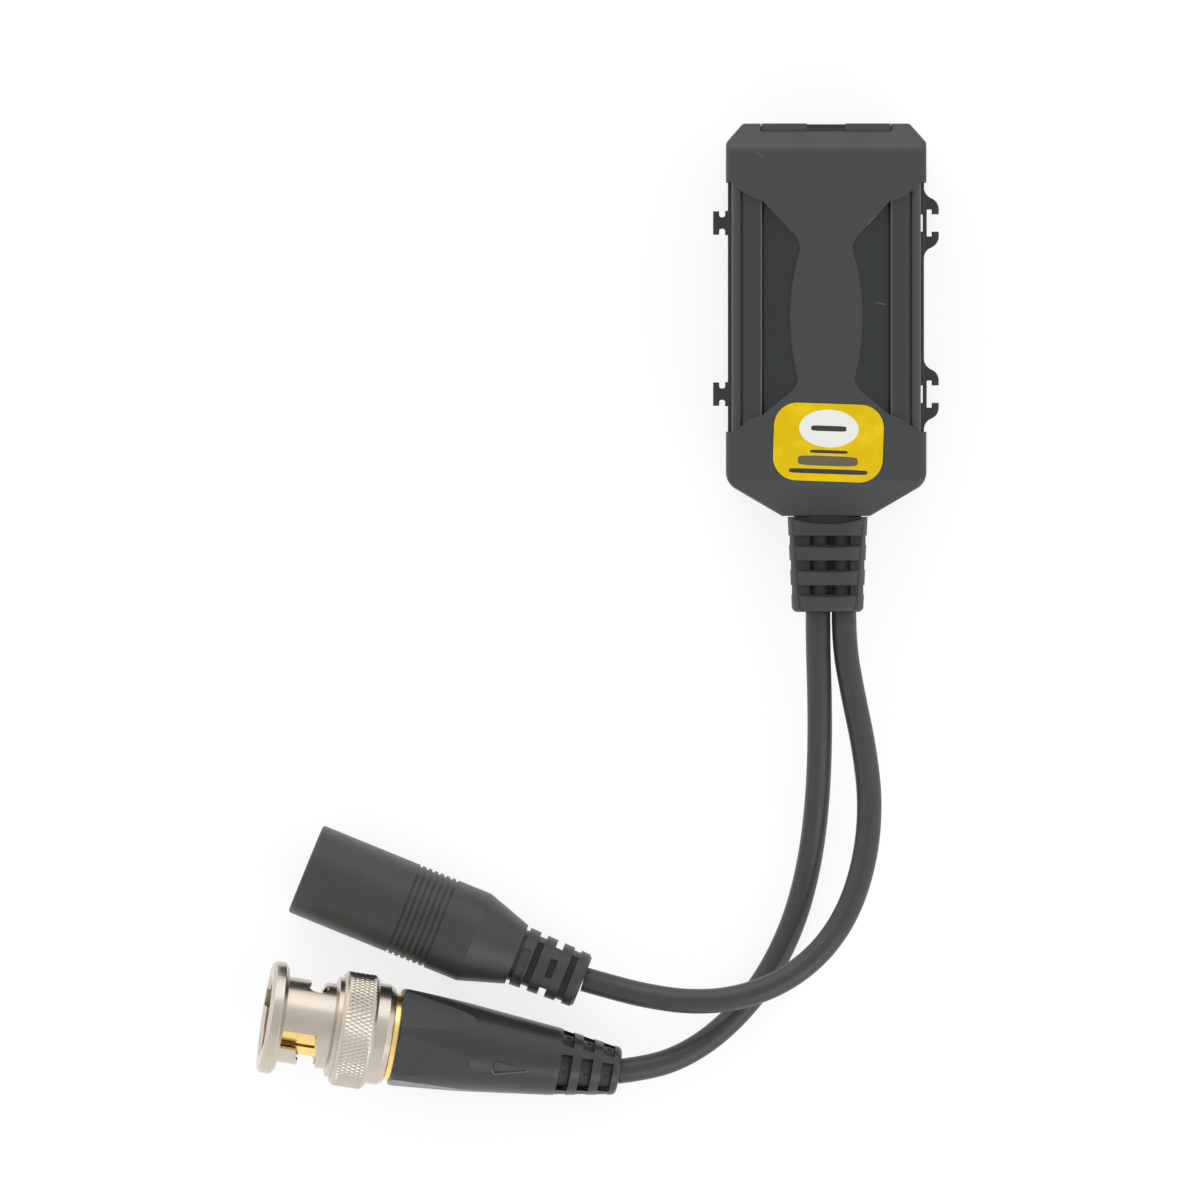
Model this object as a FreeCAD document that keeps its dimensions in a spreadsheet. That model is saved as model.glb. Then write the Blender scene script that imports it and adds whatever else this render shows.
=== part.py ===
import FreeCAD, Part
import math
import os
import Sketcher

# A video balun for security cameras: a two-shell plastic case with a network socket
# in its end, and two short cables that end in a bayonet video plug and a power socket.
# Millimetres. The case lies on its back on z = 0 and its length runs along Y.

vector = FreeCAD.Vector
doc = FreeCAD.newDocument("VideoBalun")
sheet = doc.addObject("Spreadsheet::Sheet", "Sizes")
sheetRows = []


class Size:
    """A number together with the sheet expression that gives it."""

    def __init__(self, number, text):
        self.number = float(number)
        self.text = text

    def __add__(self, other):
        return Size(self.number + numberOf(other), "(%s + %s)" % (self.text, textOf(other)))

    def __radd__(self, other):
        return Size(numberOf(other) + self.number, "(%s + %s)" % (textOf(other), self.text))

    def __sub__(self, other):
        return Size(self.number - numberOf(other), "(%s - %s)" % (self.text, textOf(other)))

    def __rsub__(self, other):
        return Size(numberOf(other) - self.number, "(%s - %s)" % (textOf(other), self.text))

    def __mul__(self, other):
        return Size(self.number * numberOf(other), "(%s * %s)" % (self.text, textOf(other)))

    def __rmul__(self, other):
        return Size(numberOf(other) * self.number, "(%s * %s)" % (textOf(other), self.text))

    def __truediv__(self, other):
        return Size(self.number / numberOf(other), "(%s / %s)" % (self.text, textOf(other)))

    def __neg__(self):
        return Size(-self.number, "(0 - %s)" % self.text)


def numberOf(value):
    return value.number if isinstance(value, Size) else float(value)


def textOf(value):
    return value.text if isinstance(value, Size) else repr(float(value))


def size(alias, number, note):
    """One driving dimension: a row of the sheet with an alias and a note."""
    sheetRows.append(alias)
    row = len(sheetRows)
    sheet.set("A%d" % row, note)
    sheet.set("B%d" % row, str(number))
    sheet.setAlias("B%d" % row, alias)
    return Size(number, "Sizes." + alias)


# Case shells
caseWidth = size("case_width", 25.0, "case, across")
caseLength = size("case_length", 49.0, "case, end to end")
caseDepth = size("case_depth", 19.0, "case, back to front")
splitHeight = size("split_height", 9.5, "height of the joint between the shells")
wall = size("wall", 1.6, "shell wall")
noseInset = size("nose_inset", 2.1, "cut corners at the socket end, across")
noseCut = size("nose_cut", 2.4, "length of the cut corners")
noseRun = size("nose_run", 3.0, "length of the slope at the socket end")
noseDrop = size("nose_drop", 2.7, "drop of that slope")
tailWidth = size("tail_width", 11.0, "width of the cable end")
tailRun = size("tail_run", 4.1, "length of the taper at the cable end")
tailDrop = size("tail_drop", 4.8, "drop of the taper, front and back")
shoulderRound = size("shoulder_round", 2.4, "rounding of the shoulders in plan")
noseRound = size("nose_round", 0.6, "rounding of the cut corners")
slopeRound = size("slope_round", 2.0, "rounding where the end slopes begin")
edgeRound = size("edge_round", 0.8, "rounding round the face")
tongueWidth = size("tongue_width", 0.7, "tongue of the front shell, thickness")
tongueDrop = size("tongue_drop", 0.8, "tongue of the front shell, reach")
fitGap = size("fit_gap", 0.05, "gap between pieces that fit each other")
tailCavity = size("tail_cavity", 4.5, "solid length at the cable end, up to the cavity")
tailCorner = size("tail_corner", 1.6, "cut corners of the cavity at the cable end")

# Grip panels on the front face
panelTop = size("panel_top", 17.2, "upper end of the grip panels, above the middle")
panelBottom = size("panel_bottom", 14.0, "lower end of the grip panels, below the middle")
ridgeIn = size("ridge_in", 4.45, "ridge line of a panel, in from the case's side")
waistOut = size("waist_out", 3.5, "raised centre, half width at its narrow places")
waistTop = size("waist_top", 7.9, "upper narrow place, above the middle")
waistLow = size("waist_low", 7.4, "lower narrow place, below the middle")
flareOut = size("flare_out", 0.9, "where the flares start, outward from the narrow places")
flareLong = size("flare_long", 3.1, "where the upper flare starts, above its narrow place")
flareLow = size("flare_low", 1.6, "where the lower flare starts, below its narrow place")
fanTop = size("fan_top", 14.9, "where the upper flare meets the ridge")
fanLow = size("fan_low", 12.0, "where the lower flare meets the ridge")
panelStep = size("panel_step", 0.3, "step down beside the raised centre")
facetDrop = size("facet_drop", 1.15, "depth of the sloped facet at the ridge")
ridgeDrop = size("ridge_drop", 0.5, "depth of the ridge line under the face")
ridgeFoot = size("ridge_foot", 0.3, "foot of the ridge, inward from its line")
bandDrop = size("band_drop", 0.75, "depth of the side band at its outer end")
grooveIn = size("groove_in", 2.1, "fine groove of a panel, in from the case's side")
grooveWide = size("groove_wide", 0.3, "width of that groove")
grooveDeep = size("groove_deep", 0.45, "depth of that groove")
panelInset = size("panel_inset", 0.7, "how far the front shell's side steps in at a panel")
railInset = size("rail_inset", 0.25, "how far the back shell's side steps in at a panel")
crestRound = size("crest_round", 0.95, "rounding of the panels' outer edge")
panelTopBend = size("panel_top_bend", 6.5, "bend of the panels' upper end")
waistBend = size("waist_bend", 2.6, "bend at the upper narrow place")
bellyBend = size("belly_bend", 29.0, "bend of the raised centre's middle")
waistLowBend = size("waist_low_bend", 3.4, "bend at the lower narrow place")
panelLowBend = size("panel_low_bend", 7.0, "bend of the panels' lower end")

# Locks on the sides, by which several cases join
lockUpper = size("lock_upper", 12.15, "upper lock, above the middle")
lockPitch = size("lock_pitch", 21.4, "distance from the upper to the lower lock")
lockRoot = size("lock_root", 0.4, "how far the locks reach into the shell wall")
lockProud = size("lock_proud", 1.6, "outer face of the locks, out from the case's side")
lockLow = size("lock_low", 2.5, "lower end of the locks")
lockHigh = size("lock_high", 9.0, "upper end of the locks")
tabHead = size("tab_head", 2.9, "tab head, length")
tabNeck = size("tab_neck", 1.4, "tab neck, thickness")
tabThick = size("tab_thick", 0.75, "tab head, thickness")
tabFillet = size("tab_fillet", 0.3, "rounding between the tab's neck and head")
tabBase = size("tab_base", 3.0, "tab base, length")
tabBaseThick = size("tab_base_thick", 0.35, "tab base, thickness")
hookMouth = size("hook_mouth", 2.2, "mouth between the hook tips")
hookHollow = size("hook_hollow", 3.4, "hollow behind the hook tips, length")
hookHollowWide = size("hook_hollow_wide", 0.65, "hollow behind the hook tips, across")
hookTip = size("hook_tip", 0.85, "hook tips, thickness across")
hookBack = size("hook_back", 0.45, "bar behind the hollow, thickness")
hookSlit = size("hook_slit", 0.35, "slit between the bar and the case")
hookArm = size("hook_arm", 0.6, "hook tips, length")
hookRun = size("hook_run", 2.75, "length of a hook's flare along the case")

# Label
labelWidth = size("label_width", 13.7, "label, across")
labelHeight = size("label_height", 9.7, "label, along the case")
labelRound = size("label_round", 2.9, "label, corner radius")
labelThick = size("label_thick", 0.12, "label, thickness")
labelAcross = size("label_across", 0.25, "label centre, to the right of the middle")
labelBelow = size("label_below", 15.35, "label centre, below the middle")
labelTurn = size("label_turn", -2.0, "label, turned by hand, degrees")

# Circuit board and network socket
boardSide = size("board_side", 2.0, "board's long edges, in from the case's side")
boardCorner = size("board_corner", 2.6, "cut corners of the board")
boardThick = size("board_thick", 1.6, "board, thickness")
boardBase = size("board_base", 2.6, "underside of the board")
boardFront = size("board_front", 22.4, "board end at the socket, above the middle")
boardBack = size("board_back", 17.2, "board end at the cables, below the middle")
postRadius = size("post_radius", 1.4, "posts under the board")
postPinRadius = size("post_pin_radius", 0.6, "pins of the posts")
postInset = size("post_inset", 2.0, "posts, in from the board's edges")
socketWidth = size("socket_width", 16.1, "network socket, across")
socketDepth = size("socket_depth", 18.0, "network socket, front to back")
socketRoof = size("socket_roof", 0.4, "room between the network socket and the front shell")
windowGap = size("window_gap", 0.12, "gap round the socket in its window")
portWidth = size("port_width", 11.8, "plug opening, across")
portBase = size("port_base", 2.6, "plug opening, above the board")
portHeight = size("port_height", 6.8, "plug opening, height")
portDeep = size("port_deep", 14.5, "plug opening, depth")
latchWidth = size("latch_width", 6.2, "latch channel, across")
latchHeight = size("latch_height", 1.9, "latch channel, height")
latchDeep = size("latch_deep", 10.0, "latch channel, depth")
latchNotchWidth = size("latch_notch_width", 4.8, "notch over the latch, across")
latchNotchDeep = size("latch_notch_deep", 0.65, "notch over the latch, depth")
wirePitch = size("wire_pitch", 1.02, "contact wires, pitch")
wireThick = size("wire_thick", 0.4, "contact wires, thickness")
wireCount = 8
wireChannel = size("wire_channel", 8.2, "channel for the contact wires, across")
wireRise = size("wire_rise", 4.7, "free ends of the contact wires, above the board")
carrierWidth = size("carrier_width", 11.6, "contact carrier, across")
carrierDepth = size("carrier_depth", 2.9, "contact carrier, front to back")
carrierHeight = size("carrier_height", 5.6, "contact carrier, height")
wireLow = size("wire_low", 1.8, "contact wires, above the board, where they run flat")
wireBendSetback = size("wire_bend_setback", 2.6, "front bend of the wires, behind the face")
wireTipSetback = size("wire_tip_setback", 11.0, "free ends of the wires, behind the face")
wireFoot = size("wire_foot", 0.6, "wire ends under the board")
pegRadius = size("peg_radius", 1.5, "pegs under the socket")
pegOut = size("peg_out", 5.7, "pegs, from the centre line")
pegSetback = size("peg_setback", 10.6, "pegs, behind the socket's face")
pinHoleRadius = size("pin_hole_radius", 0.4, "board holes for the contact wires")

# Parts on the board
coreRadius = size("core_radius", 4.5, "transformer core, outer radius")
coreHole = size("core_hole", 2.4, "transformer core, inner radius")
coreHeight = size("core_height", 3.6, "transformer core, height")
windingThick = size("winding_thick", 0.5, "winding, thickness")
coreAlong = size("core_along", 0.2, "transformer centre, along the case")
windingSpan = size("winding_span", 120.0, "winding, share of the ring, degrees")
chokeLength = size("choke_length", 6.6, "choke, length")
chokeWidth = size("choke_width", 5.6, "choke, width")
chokeHeight = size("choke_height", 4.2, "choke, height")
chokeWaist = size("choke_waist", 0.9, "choke, depth of its wire space")
chokeFlange = size("choke_flange", 1.0, "choke, flange thickness")
chokeAcross = size("choke_across", -5.2, "choke centre, across")
chokeAlong = size("choke_along", -9.6, "choke centre, along the case")
arresterLength = size("arrester_length", 5.2, "surge arrester, length")
arresterRadius = size("arrester_radius", 1.2, "surge arrester, radius")
arresterAcross = size("arrester_across", 4.8, "surge arresters, across")
arresterAlong = size("arrester_along", -7.6, "first surge arrester, along the case")
arresterPitch = size("arrester_pitch", 3.2, "surge arresters, spacing")
capRadius = size("cap_radius", 2.0, "capacitor, radius")
capHeight = size("cap_height", 5.4, "capacitor, height")
capRim = size("cap_rim", 0.3, "capacitor, rounding of its top")
capSide = size("cap_side", 2.5, "capacitor, in from the board's edge")
capAlong = size("cap_along", 4.2, "capacitor, along the case")

# Strain relief
reliefLength = size("relief_length", 12.0, "strain relief, length outside the case")
reliefWide = size("relief_wide", 10.0, "strain relief, width at the case")
reliefEndWide = size("relief_end_wide", 8.9, "strain relief, width at its end")
reliefDeep = size("relief_deep", 8.2, "strain relief, depth at the case")
reliefEndDeep = size("relief_end_deep", 7.4, "strain relief, depth at its end")
reliefRound = size("relief_round", 2.6, "strain relief, corner radius")
reliefEndRound = size("relief_end_round", 0.7, "rounding at the strain relief's end")
reliefGap = size("relief_gap", 0.1, "joint line between the case and the first rib")
crescentDeep = size("crescent_deep", 0.9, "crescent next to the case, length at its middle")
neckWide = size("neck_wide", 8.4, "neck through the case, width")
neckDeep = size("neck_deep", 6.6, "neck through the case, depth")
neckRound = size("neck_round", 2.2, "neck through the case, corner radius")
collarWide = size("collar_wide", 12.4, "collar inside the case, width")
collarDeep = size("collar_deep", 9.6, "collar inside the case, depth")
collarThick = size("collar_thick", 1.5, "collar inside the case, thickness")
ribCount = 3
ribPitch = size("rib_pitch", 3.1, "grooves of the strain relief, pitch")
slotFirst = size("slot_first", 2.45, "first groove, from the case")
slotWide = size("slot_wide", 1.2, "grooves, width")
slotSag = size("slot_sag", 0.3, "grooves, curve of their lower edge")
slotFloor = size("slot_floor", 3.15, "floor of the grooves, from the relief's middle plane")
slotNick = size("slot_nick", 0.15, "how far the grooves' ends are set in")
openHalf = size("open_half", 2.55, "windows of the strain relief, half width")
openAcross = size("open_across", 0.5, "windows of the strain relief, centre")
openCore = size("open_core", 0.6, "web left between front and back windows, half thickness")
coreCover = size("core_cover", 0.12, "skin over the cables in the windows")
reliefCenter = size("relief_center", 0.2, "strain relief, to the right of the middle")
videoExit = size("video_exit", -1.0, "video cable, across, where it leaves the relief")
powerExit = size("power_exit", 2.25, "power cable, across, where it leaves the relief")

# Cables
cordRadius = size("cord_radius", 1.55, "cables, radius")
exitHeight = size("exit_height", 9.5, "cables, height where they leave the case")
leadRadius = size("lead_radius", 0.5, "inner leads, radius")
leadSpacing = size("lead_spacing", 1.3, "inner leads of one cable, spacing")
leadRun = size("lead_run", 2.6, "inner leads, length along the case")

# Video plug; its own X runs from the cable to its mouth
dropAt = size("drop_at", 15.5, "teardrop recess of the boot, its round end")
dropPoint = size("drop_point", 11.6, "teardrop recess of the boot, its point")
dropHalf = size("drop_half", 0.93, "teardrop recess of the boot, half width")
dropRadius = size("drop_radius", 1.0, "teardrop recess of the boot, its round end's radius")
dropFloor = size("drop_floor", 4.55, "teardrop recess of the boot, floor from the axis")
plugAcross = size("plug_across", -25.95, "boot end, across")
plugAlong = size("plug_along", -93.95, "boot end, along the case")
plugHeight = size("plug_height", 4.8, "boot end, height")
plugTurn = size("plug_turn", 171.1, "direction of the plug's mouth, degrees")
plugTilt = size("plug_tilt", 4.4, "rise of the plug towards its mouth, degrees")
bootLength = size("boot_length", 28.4, "boot, length")
bootEnd = size("boot_end", 3.05, "boot, radius at the cable")
bootMiddle = size("boot_middle", 4.3, "boot, radius where its windows end")
bootMiddleAt = size("boot_middle_at", 8.3, "boot, where its windows end")
bootFront = size("boot_front", 6.45, "boot, radius at the nut")
bootEdge = size("boot_edge", 0.8, "boot, rounding of its front edge")
bootBore = size("boot_bore", 4.3, "boot, bore over the plug body")
bootBoreFrom = size("boot_bore_from", 14.2, "boot, where that bore starts")
bootSmallFrom = size("boot_small_from", 8.7, "boot, where its bore over the ferrule starts")
windowPitch = size("window_pitch", 2.63, "boot windows, pitch")
windowFirst = size("window_first", 0.95, "boot windows, start")
windowWide = size("window_wide", 1.45, "boot windows, width")
windowHalf = size("window_half", 1.9, "boot windows, half length round the boot at the cable")
windowGrow = size("window_grow", 0.26, "boot windows, growth of that from each to the next")
windowCore = size("window_core", 2.1, "boot windows, core left")
windowTurn = size("window_turn", -21.5, "boot windows, turned about the axis, degrees")
flatFrom = size("flat_from", 19.0, "boot flats, start")
flatDeep = size("flat_deep", 0.55, "boot flats, depth at the front edge")
flatTurn = size("flat_turn", -22.0, "boot flats, turned about the axis, degrees")
flatCount = 6
ferruleRadius = size("ferrule_radius", 2.7, "crimp ferrule, radius")
ferruleWall = size("ferrule_wall", 0.5, "crimp ferrule, wall")
ferruleLength = size("ferrule_length", 5.3, "crimp ferrule, length")
stemBore = size("stem_bore", 1.2, "bore of the crimp stem")
bodyRadius = size("body_radius", 4.25, "plug body, radius")
bodyBack = size("body_back", 17.0, "plug body, where the crimp stem meets it")
shoulderRadius = size("shoulder_radius", 5.5, "plug body, shoulder behind the nut")
shoulderThick = size("shoulder_thick", 0.65, "plug body, shoulder thickness")
bodyFront = size("body_front", 34.0, "plug body, front face")
ringGroove = size("ring_groove", 3.6, "plug body, radius of the ring groove")
ringAt = size("ring_at", 32.2, "retaining ring, back face")
ringThick = size("ring_thick", 0.8, "retaining ring, thickness")
ringRadius = size("ring_radius", 5.2, "retaining ring, radius")
ringSplit = size("ring_split", 1.2, "retaining ring, width of its split")
insulatorRadius = size("insulator_radius", 2.4, "insulator, radius")
insulatorBack = size("insulator_back", 20.0, "insulator, back end")
insulatorFront = size("insulator_front", 37.4, "insulator, front end")
pinRadius = size("pin_radius", 0.685, "centre contact, radius")
pinSeat = size("pin_seat", 0.95, "centre contact, radius inside the insulator")
pinBack = size("pin_back", 19.0, "centre contact, back end")
pinTip = size("pin_tip", 42.8, "centre contact, tip")
pinTipRadius = size("pin_tip_radius", 0.3, "centre contact, radius of its tip")
pinPoint = size("pin_point", 0.7, "centre contact, length of its point")
contactRadius = size("contact_radius", 4.05, "outer contact, radius")
contactWall = size("contact_wall", 0.45, "outer contact, wall")
contactFront = size("contact_front", 43.3, "outer contact, front end")
contactFlange = size("contact_flange", 4.55, "outer contact, flange radius")
contactFlangeThick = size("contact_flange_thick", 0.9, "outer contact, flange thickness")
spigotRadius = size("spigot_radius", 3.0, "outer contact, radius of its spigot")
spigotLength = size("spigot_length", 1.6, "outer contact, length of its spigot")
contactSlot = size("contact_slot", 0.5, "outer contact, width of its slots")
contactSlotLong = size("contact_slot_long", 5.0, "outer contact, length of its slots")
contactSlotTurn = size("contact_slot_turn", 45.0, "outer contact, slots turned, degrees")
gasketSeat = size("gasket_seat", 4.35, "outer contact, radius of its gasket seat")
gasketThick = size("gasket_thick", 1.0, "gasket, thickness")
gasketRadius = size("gasket_radius", 4.75, "gasket, radius")

# Bayonet nut
nutBack = size("nut_back", 29.15, "nut, back face")
nutFront = size("nut_front", 44.8, "nut, front face")
nutHub = size("nut_hub", 6.35, "nut, radius of its hub")
nutHubBack = size("nut_hub_back", 5.9, "nut, radius of its back edge")
nutHubLong = size("nut_hub_long", 2.2, "nut, length of its hub")
nutGrip = size("nut_grip", 7.12, "nut, radius of its grip, under the knurl")
nutGripLong = size("nut_grip_long", 4.4, "nut, length of its knurled grip")
nutGripChamfer = size("nut_grip_chamfer", 0.35, "nut, chamfer of its grip")
nutRim = size("nut_rim", 6.3, "nut, radius of the rim in front of the grip")
nutRimLong = size("nut_rim_long", 0.9, "nut, length of that rim")
nutSleeve = size("nut_sleeve", 5.4, "nut, radius of its sleeve")
nutFlange = size("nut_flange", 7.05, "nut, radius of its front flange")
nutFlangeLong = size("nut_flange_long", 2.0, "nut, length of its front flange")
nutFlangeStep = size("nut_flange_step", 0.5, "nut, step at the back of its flange")
nutBore = size("nut_bore", 4.85, "nut, bore that takes the mating shell")
nutCavity = size("nut_cavity", 5.5, "nut, radius of its spring space")
nutCavityEnd = size("nut_cavity_end", 34.2, "nut, front end of its spring space")
nutLip = size("nut_lip", 1.2, "nut, thickness of its back lip")
camWide = size("cam_wide", 2.5, "bayonet slots, width")
camDetent = size("cam_detent", 1.25, "bayonet slots, radius of the rest hole")
camDetentAt = size("cam_detent_at", 5.9, "rest holes, behind the front face")
camFrontAt = size("cam_front_at", 3.95, "bayonet slots, front edge behind the front face")
camTurn = size("cam_turn", -28.5, "bayonet slots, way in, angle from the top, degrees")
camEnd = size("cam_end", 112.0, "bayonet slots, end of the spiral, angle from the top")
camRest = size("cam_rest", -120.0, "bayonet slots, rest hole, angle from the top, degrees")
camPitch = size("cam_pitch", 4.4, "bayonet slots, axial length of a full turn")
slipThick = size("slip_thick", 0.3, "slip washer, thickness")
slipRadius = size("slip_radius", 5.2, "slip washer, radius")
springThick = size("spring_thick", 0.25, "wave spring, thickness")
springWaves = 3

# Power socket; its own X runs from the cable to its mouth
powerAcross = size("power_across", -30.44, "power boot end, across")
powerAlong = size("power_along", -82.7, "power boot end, along the case")
powerTurn = size("power_turn", 157.8, "direction of the power socket's mouth, degrees")
powerLength = size("power_length", 37.4, "power socket, length")
powerRadius = size("power_radius", 5.85, "power socket, radius")
powerEdge = size("power_edge", 0.4, "power socket, edge rounding at the mouth")
powerTaperFrom = size("power_taper_from", 8.9, "power socket, start of its taper")
powerTaperTo = size("power_taper_to", 14.7, "power socket, end of its taper")
powerShoulder = size("power_shoulder", 3.95, "power socket, radius at the boot")
powerBootRadius = size("power_boot_radius", 3.8, "power boot, radius at the socket")
powerBootEnd = size("power_boot_end", 3.5, "power boot, radius at the cable")
powerSlotWide = size("power_slot_wide", 0.9, "power boot slots, width")
powerSlotPitch = size("power_slot_pitch", 2.3, "power boot slots, pitch")
powerSlotFirst = size("power_slot_first", 1.5, "power boot slots, first")
powerSlotCore = size("power_slot_core", 1.75, "power boot slots, core left")
powerSlotHalf = size("power_slot_half", 2.5, "power boot slots, half length")
powerRingFloor = size("power_ring_floor", 3.25, "ring grooves beside those slots, floor radius")
powerWebHalf = size("power_web_half", 1.2, "windows of the power boot's web, half length")
powerWebFloor = size("power_web_floor", 2.5, "windows of the power boot's web, floor from the axis")
plateFrom = size("plate_from", 7.4, "closed slots of the power boot, start")
plateLong = size("plate_long", 0.95, "closed slots of the power boot, width")
plateDeep = size("plate_deep", 0.22, "closed slots of the power boot, depth")
plateSpan = size("plate_span", 74.0, "closed slots of the power boot, degrees round it")
plateTurn = size("plate_turn", -20.0, "closed slots of the power boot, turned, degrees")
powerNeck = size("power_neck", 3.35, "power boot, radius of the nick at the socket")
powerNeckLong = size("power_neck_long", 0.45, "power boot, length of that nick")
gripFrom = size("grip_from", 19.1, "grip rings, start")
gripPitch = size("grip_pitch", 0.8, "grip rings, pitch")
gripGroove = size("grip_groove", 0.3, "grip rings, groove width")
gripDeep = size("grip_deep", 0.22, "grip rings, groove depth")
gripCount = 7
insertRadius = size("insert_radius", 4.7, "power insert, radius")
insertBack = size("insert_back", 24.6, "power insert, back end")
insertInset = size("insert_inset", 0.35, "power insert, set back from the mouth")
jackBore = size("jack_bore", 2.85, "power bore, radius")
jackDeep = size("jack_deep", 9.6, "power bore, depth")
jackPinRadius = size("jack_pin_radius", 1.05, "power centre pin, radius")
jackPinInset = size("jack_pin_inset", 0.9, "power centre pin, set back from the insert's face")
jackPinBack = size("jack_pin_back", 22.2, "power centre pin, back end")
jackPinSeat = size("jack_pin_seat", 1.3, "power centre pin, radius inside the insert")
jackSpringWide = size("jack_spring_wide", 2.0, "power contact strip, width")
jackSpringThick = size("jack_spring_thick", 0.3, "power contact strip, thickness")
jackSpringDeep = size("jack_spring_deep", 0.85, "power contact strip, depth of its seat")

# The routes of the two cables, chosen by hand from the case to the connectors
videoRoute = [
    (-1.0, -36.5, 9.5), (-1.0, -40.5, 9.5), (-0.8, -46.5, 8.8), (-0.75, -53.5, 7.2),
    (-1.1, -61.0, 5.2), (-2.1, -68.5, 3.4), (-4.0, -75.5, 2.2), (-7.1, -81.9, 1.8),
    (-10.6, -86.4, 2.0), (-14.4, -89.9, 2.8), (-18.3, -92.25, 3.7), (-22.2, -93.5, 4.4),
    (-26.05, -93.98, 4.8),
]
powerRoute = [
    (2.25, -36.5, 9.5), (2.25, -40.5, 9.5), (3.3, -46.5, 8.9), (4.8, -53.5, 7.7),
    (5.6, -60.5, 6.8), (4.95, -67.4, 6.6), (2.95, -73.8, 7.1), (-0.5, -79.0, 7.9),
    (-5.4, -82.8, 8.3), (-11.2, -84.9, 8.3), (-16.9, -85.3, 7.6), (-22.0, -84.6, 6.6),
    (-26.2, -83.6, 5.95), (-30.28, -82.42, 5.85),
]
doc.recompute()

# How far a cut corner moves along its edge for each millimetre of inset
cornerShare = 0.42
# Share of the shorter run that each arc of a cable takes up
arcShare = 0.45

halfWidth = caseWidth / 2
halfLength = caseLength / 2
noseHalf = halfWidth - noseInset
ridgeOut = halfWidth - ridgeIn
grooveOut = halfWidth - grooveIn
lockReach = halfWidth + lockProud
innerTop = caseDepth - wall
boardTop = boardBase + boardThick
boardHalf = halfWidth - boardSide
capAcross = boardHalf - capSide
socketTop = innerTop - socketRoof
socketFace = halfLength
subParts = []


# Helpers for sketches and features

def originPart(body, role):
    return [item for item in body.Origin.OriginFeatures if item.Role == role][0]


def newBody(name):
    body = doc.addObject("PartDesign::Body", name)
    body.Label = name
    return body


def newSketch(body, name, role, lift=0):
    """A sketch on one of the body's origin planes, lifted along the plane's normal."""
    sketch = body.newObject("Sketcher::SketchObject", name)
    sketch.AttachmentSupport = [(originPart(body, role), "")]
    sketch.MapMode = "FlatFace"
    if isinstance(lift, Size):
        sketch.AttachmentOffset = FreeCAD.Placement(vector(0, 0, lift.number), FreeCAD.Rotation())
        sketch.setExpression("AttachmentOffset.Base.z", lift.text)
    elif lift:
        sketch.AttachmentOffset = FreeCAD.Placement(vector(0, 0, lift), FreeCAD.Rotation())
    return sketch


def bind(sketch, kind, *where):
    """A dimension whose value comes from the sheet."""
    value = where[-1]
    index = sketch.addConstraint(Sketcher.Constraint(kind, *where[:-1], numberOf(value)))
    if isinstance(value, Size):
        sketch.setExpression("Constraints[%d]" % index, value.text)


def placePoint(sketch, element, end, point):
    bind(sketch, "DistanceX", element, end, point[0])
    bind(sketch, "DistanceY", element, end, point[1])


def arcThrough(start, end, radius, side):
    """An arc between two points, anticlockwise, that bulges left (1) or right (-1)."""
    middle = (start + end) * 0.5
    chord = end - start
    across = vector(-chord.y, chord.x, 0).normalize()
    height = math.sqrt(max(radius ** 2 - (chord.Length / 2) ** 2, 0))
    centre = middle - across * side * height
    top = centre + across * side * radius
    if side > 0:
        return Part.Arc(end, top, start)
    return Part.Arc(start, top, end)


def outline(sketch, points):
    """A closed outline. A point is (x, y), or (x, y, radius, side) before an arc."""
    first = sketch.GeometryCount
    count = len(points)
    corners = [vector(numberOf(point[0]), numberOf(point[1]), 0) for point in points]
    reversedWay = []
    for index, point in enumerate(points):
        start = corners[index]
        end = corners[(index + 1) % count]
        if len(point) == 4:
            sketch.addGeometry(arcThrough(start, end, numberOf(point[2]), point[3]), False)
            reversedWay.append(point[3] > 0)
        else:
            sketch.addGeometry(Part.LineSegment(start, end), False)
            reversedWay.append(False)
    for index in range(count):
        after = (index + 1) % count
        endOf = 1 if reversedWay[index] else 2
        startOf = 2 if reversedWay[after] else 1
        link = Sketcher.Constraint("Coincident", first + index, endOf, first + after, startOf)
        sketch.addConstraint(link)
    for index, point in enumerate(points):
        placePoint(sketch, first + index, 2 if reversedWay[index] else 1, point)
        if len(point) == 4:
            bind(sketch, "Radius", first + index, point[2])


def circle(sketch, across, along, radius):
    centre = vector(numberOf(across), numberOf(along), 0)
    element = sketch.addGeometry(Part.Circle(centre, vector(0, 0, 1), numberOf(radius)), False)
    placePoint(sketch, element, 3, (across, along))
    bind(sketch, "Radius", element, radius)


def rectangle(sketch, left, right, low, high):
    outline(sketch, [(left, low), (right, low), (right, high), (left, high)])


def roundedBox(sketch, across, along, wide, tall, radius):
    """A rectangle with rounded corners about a centre."""
    left = across - wide / 2
    right = across + wide / 2
    low = along - tall / 2
    high = along + tall / 2
    outline(sketch, [
        (left + radius, low), (right - radius, low, radius, -1),
        (right, low + radius), (right, high - radius, radius, -1),
        (right - radius, high), (left + radius, high, radius, -1),
        (left, high - radius), (left, low + radius, radius, -1)])


def feature(body, kind, name, sketch, length=None, reverse=False, both=False):
    item = body.newObject("PartDesign::" + kind, name)
    item.Profile = sketch
    item.Reversed = reverse
    if both:
        item.SideType = "Symmetric"
    if isinstance(length, Size):
        item.Length = length.number
        item.setExpression("Length", length.text)
    elif length is not None:
        item.Length = length
    doc.recompute()
    return item


def pad(body, name, sketch, length, reverse=False, both=False):
    return feature(body, "Pad", name, sketch, length, reverse, both)


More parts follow.
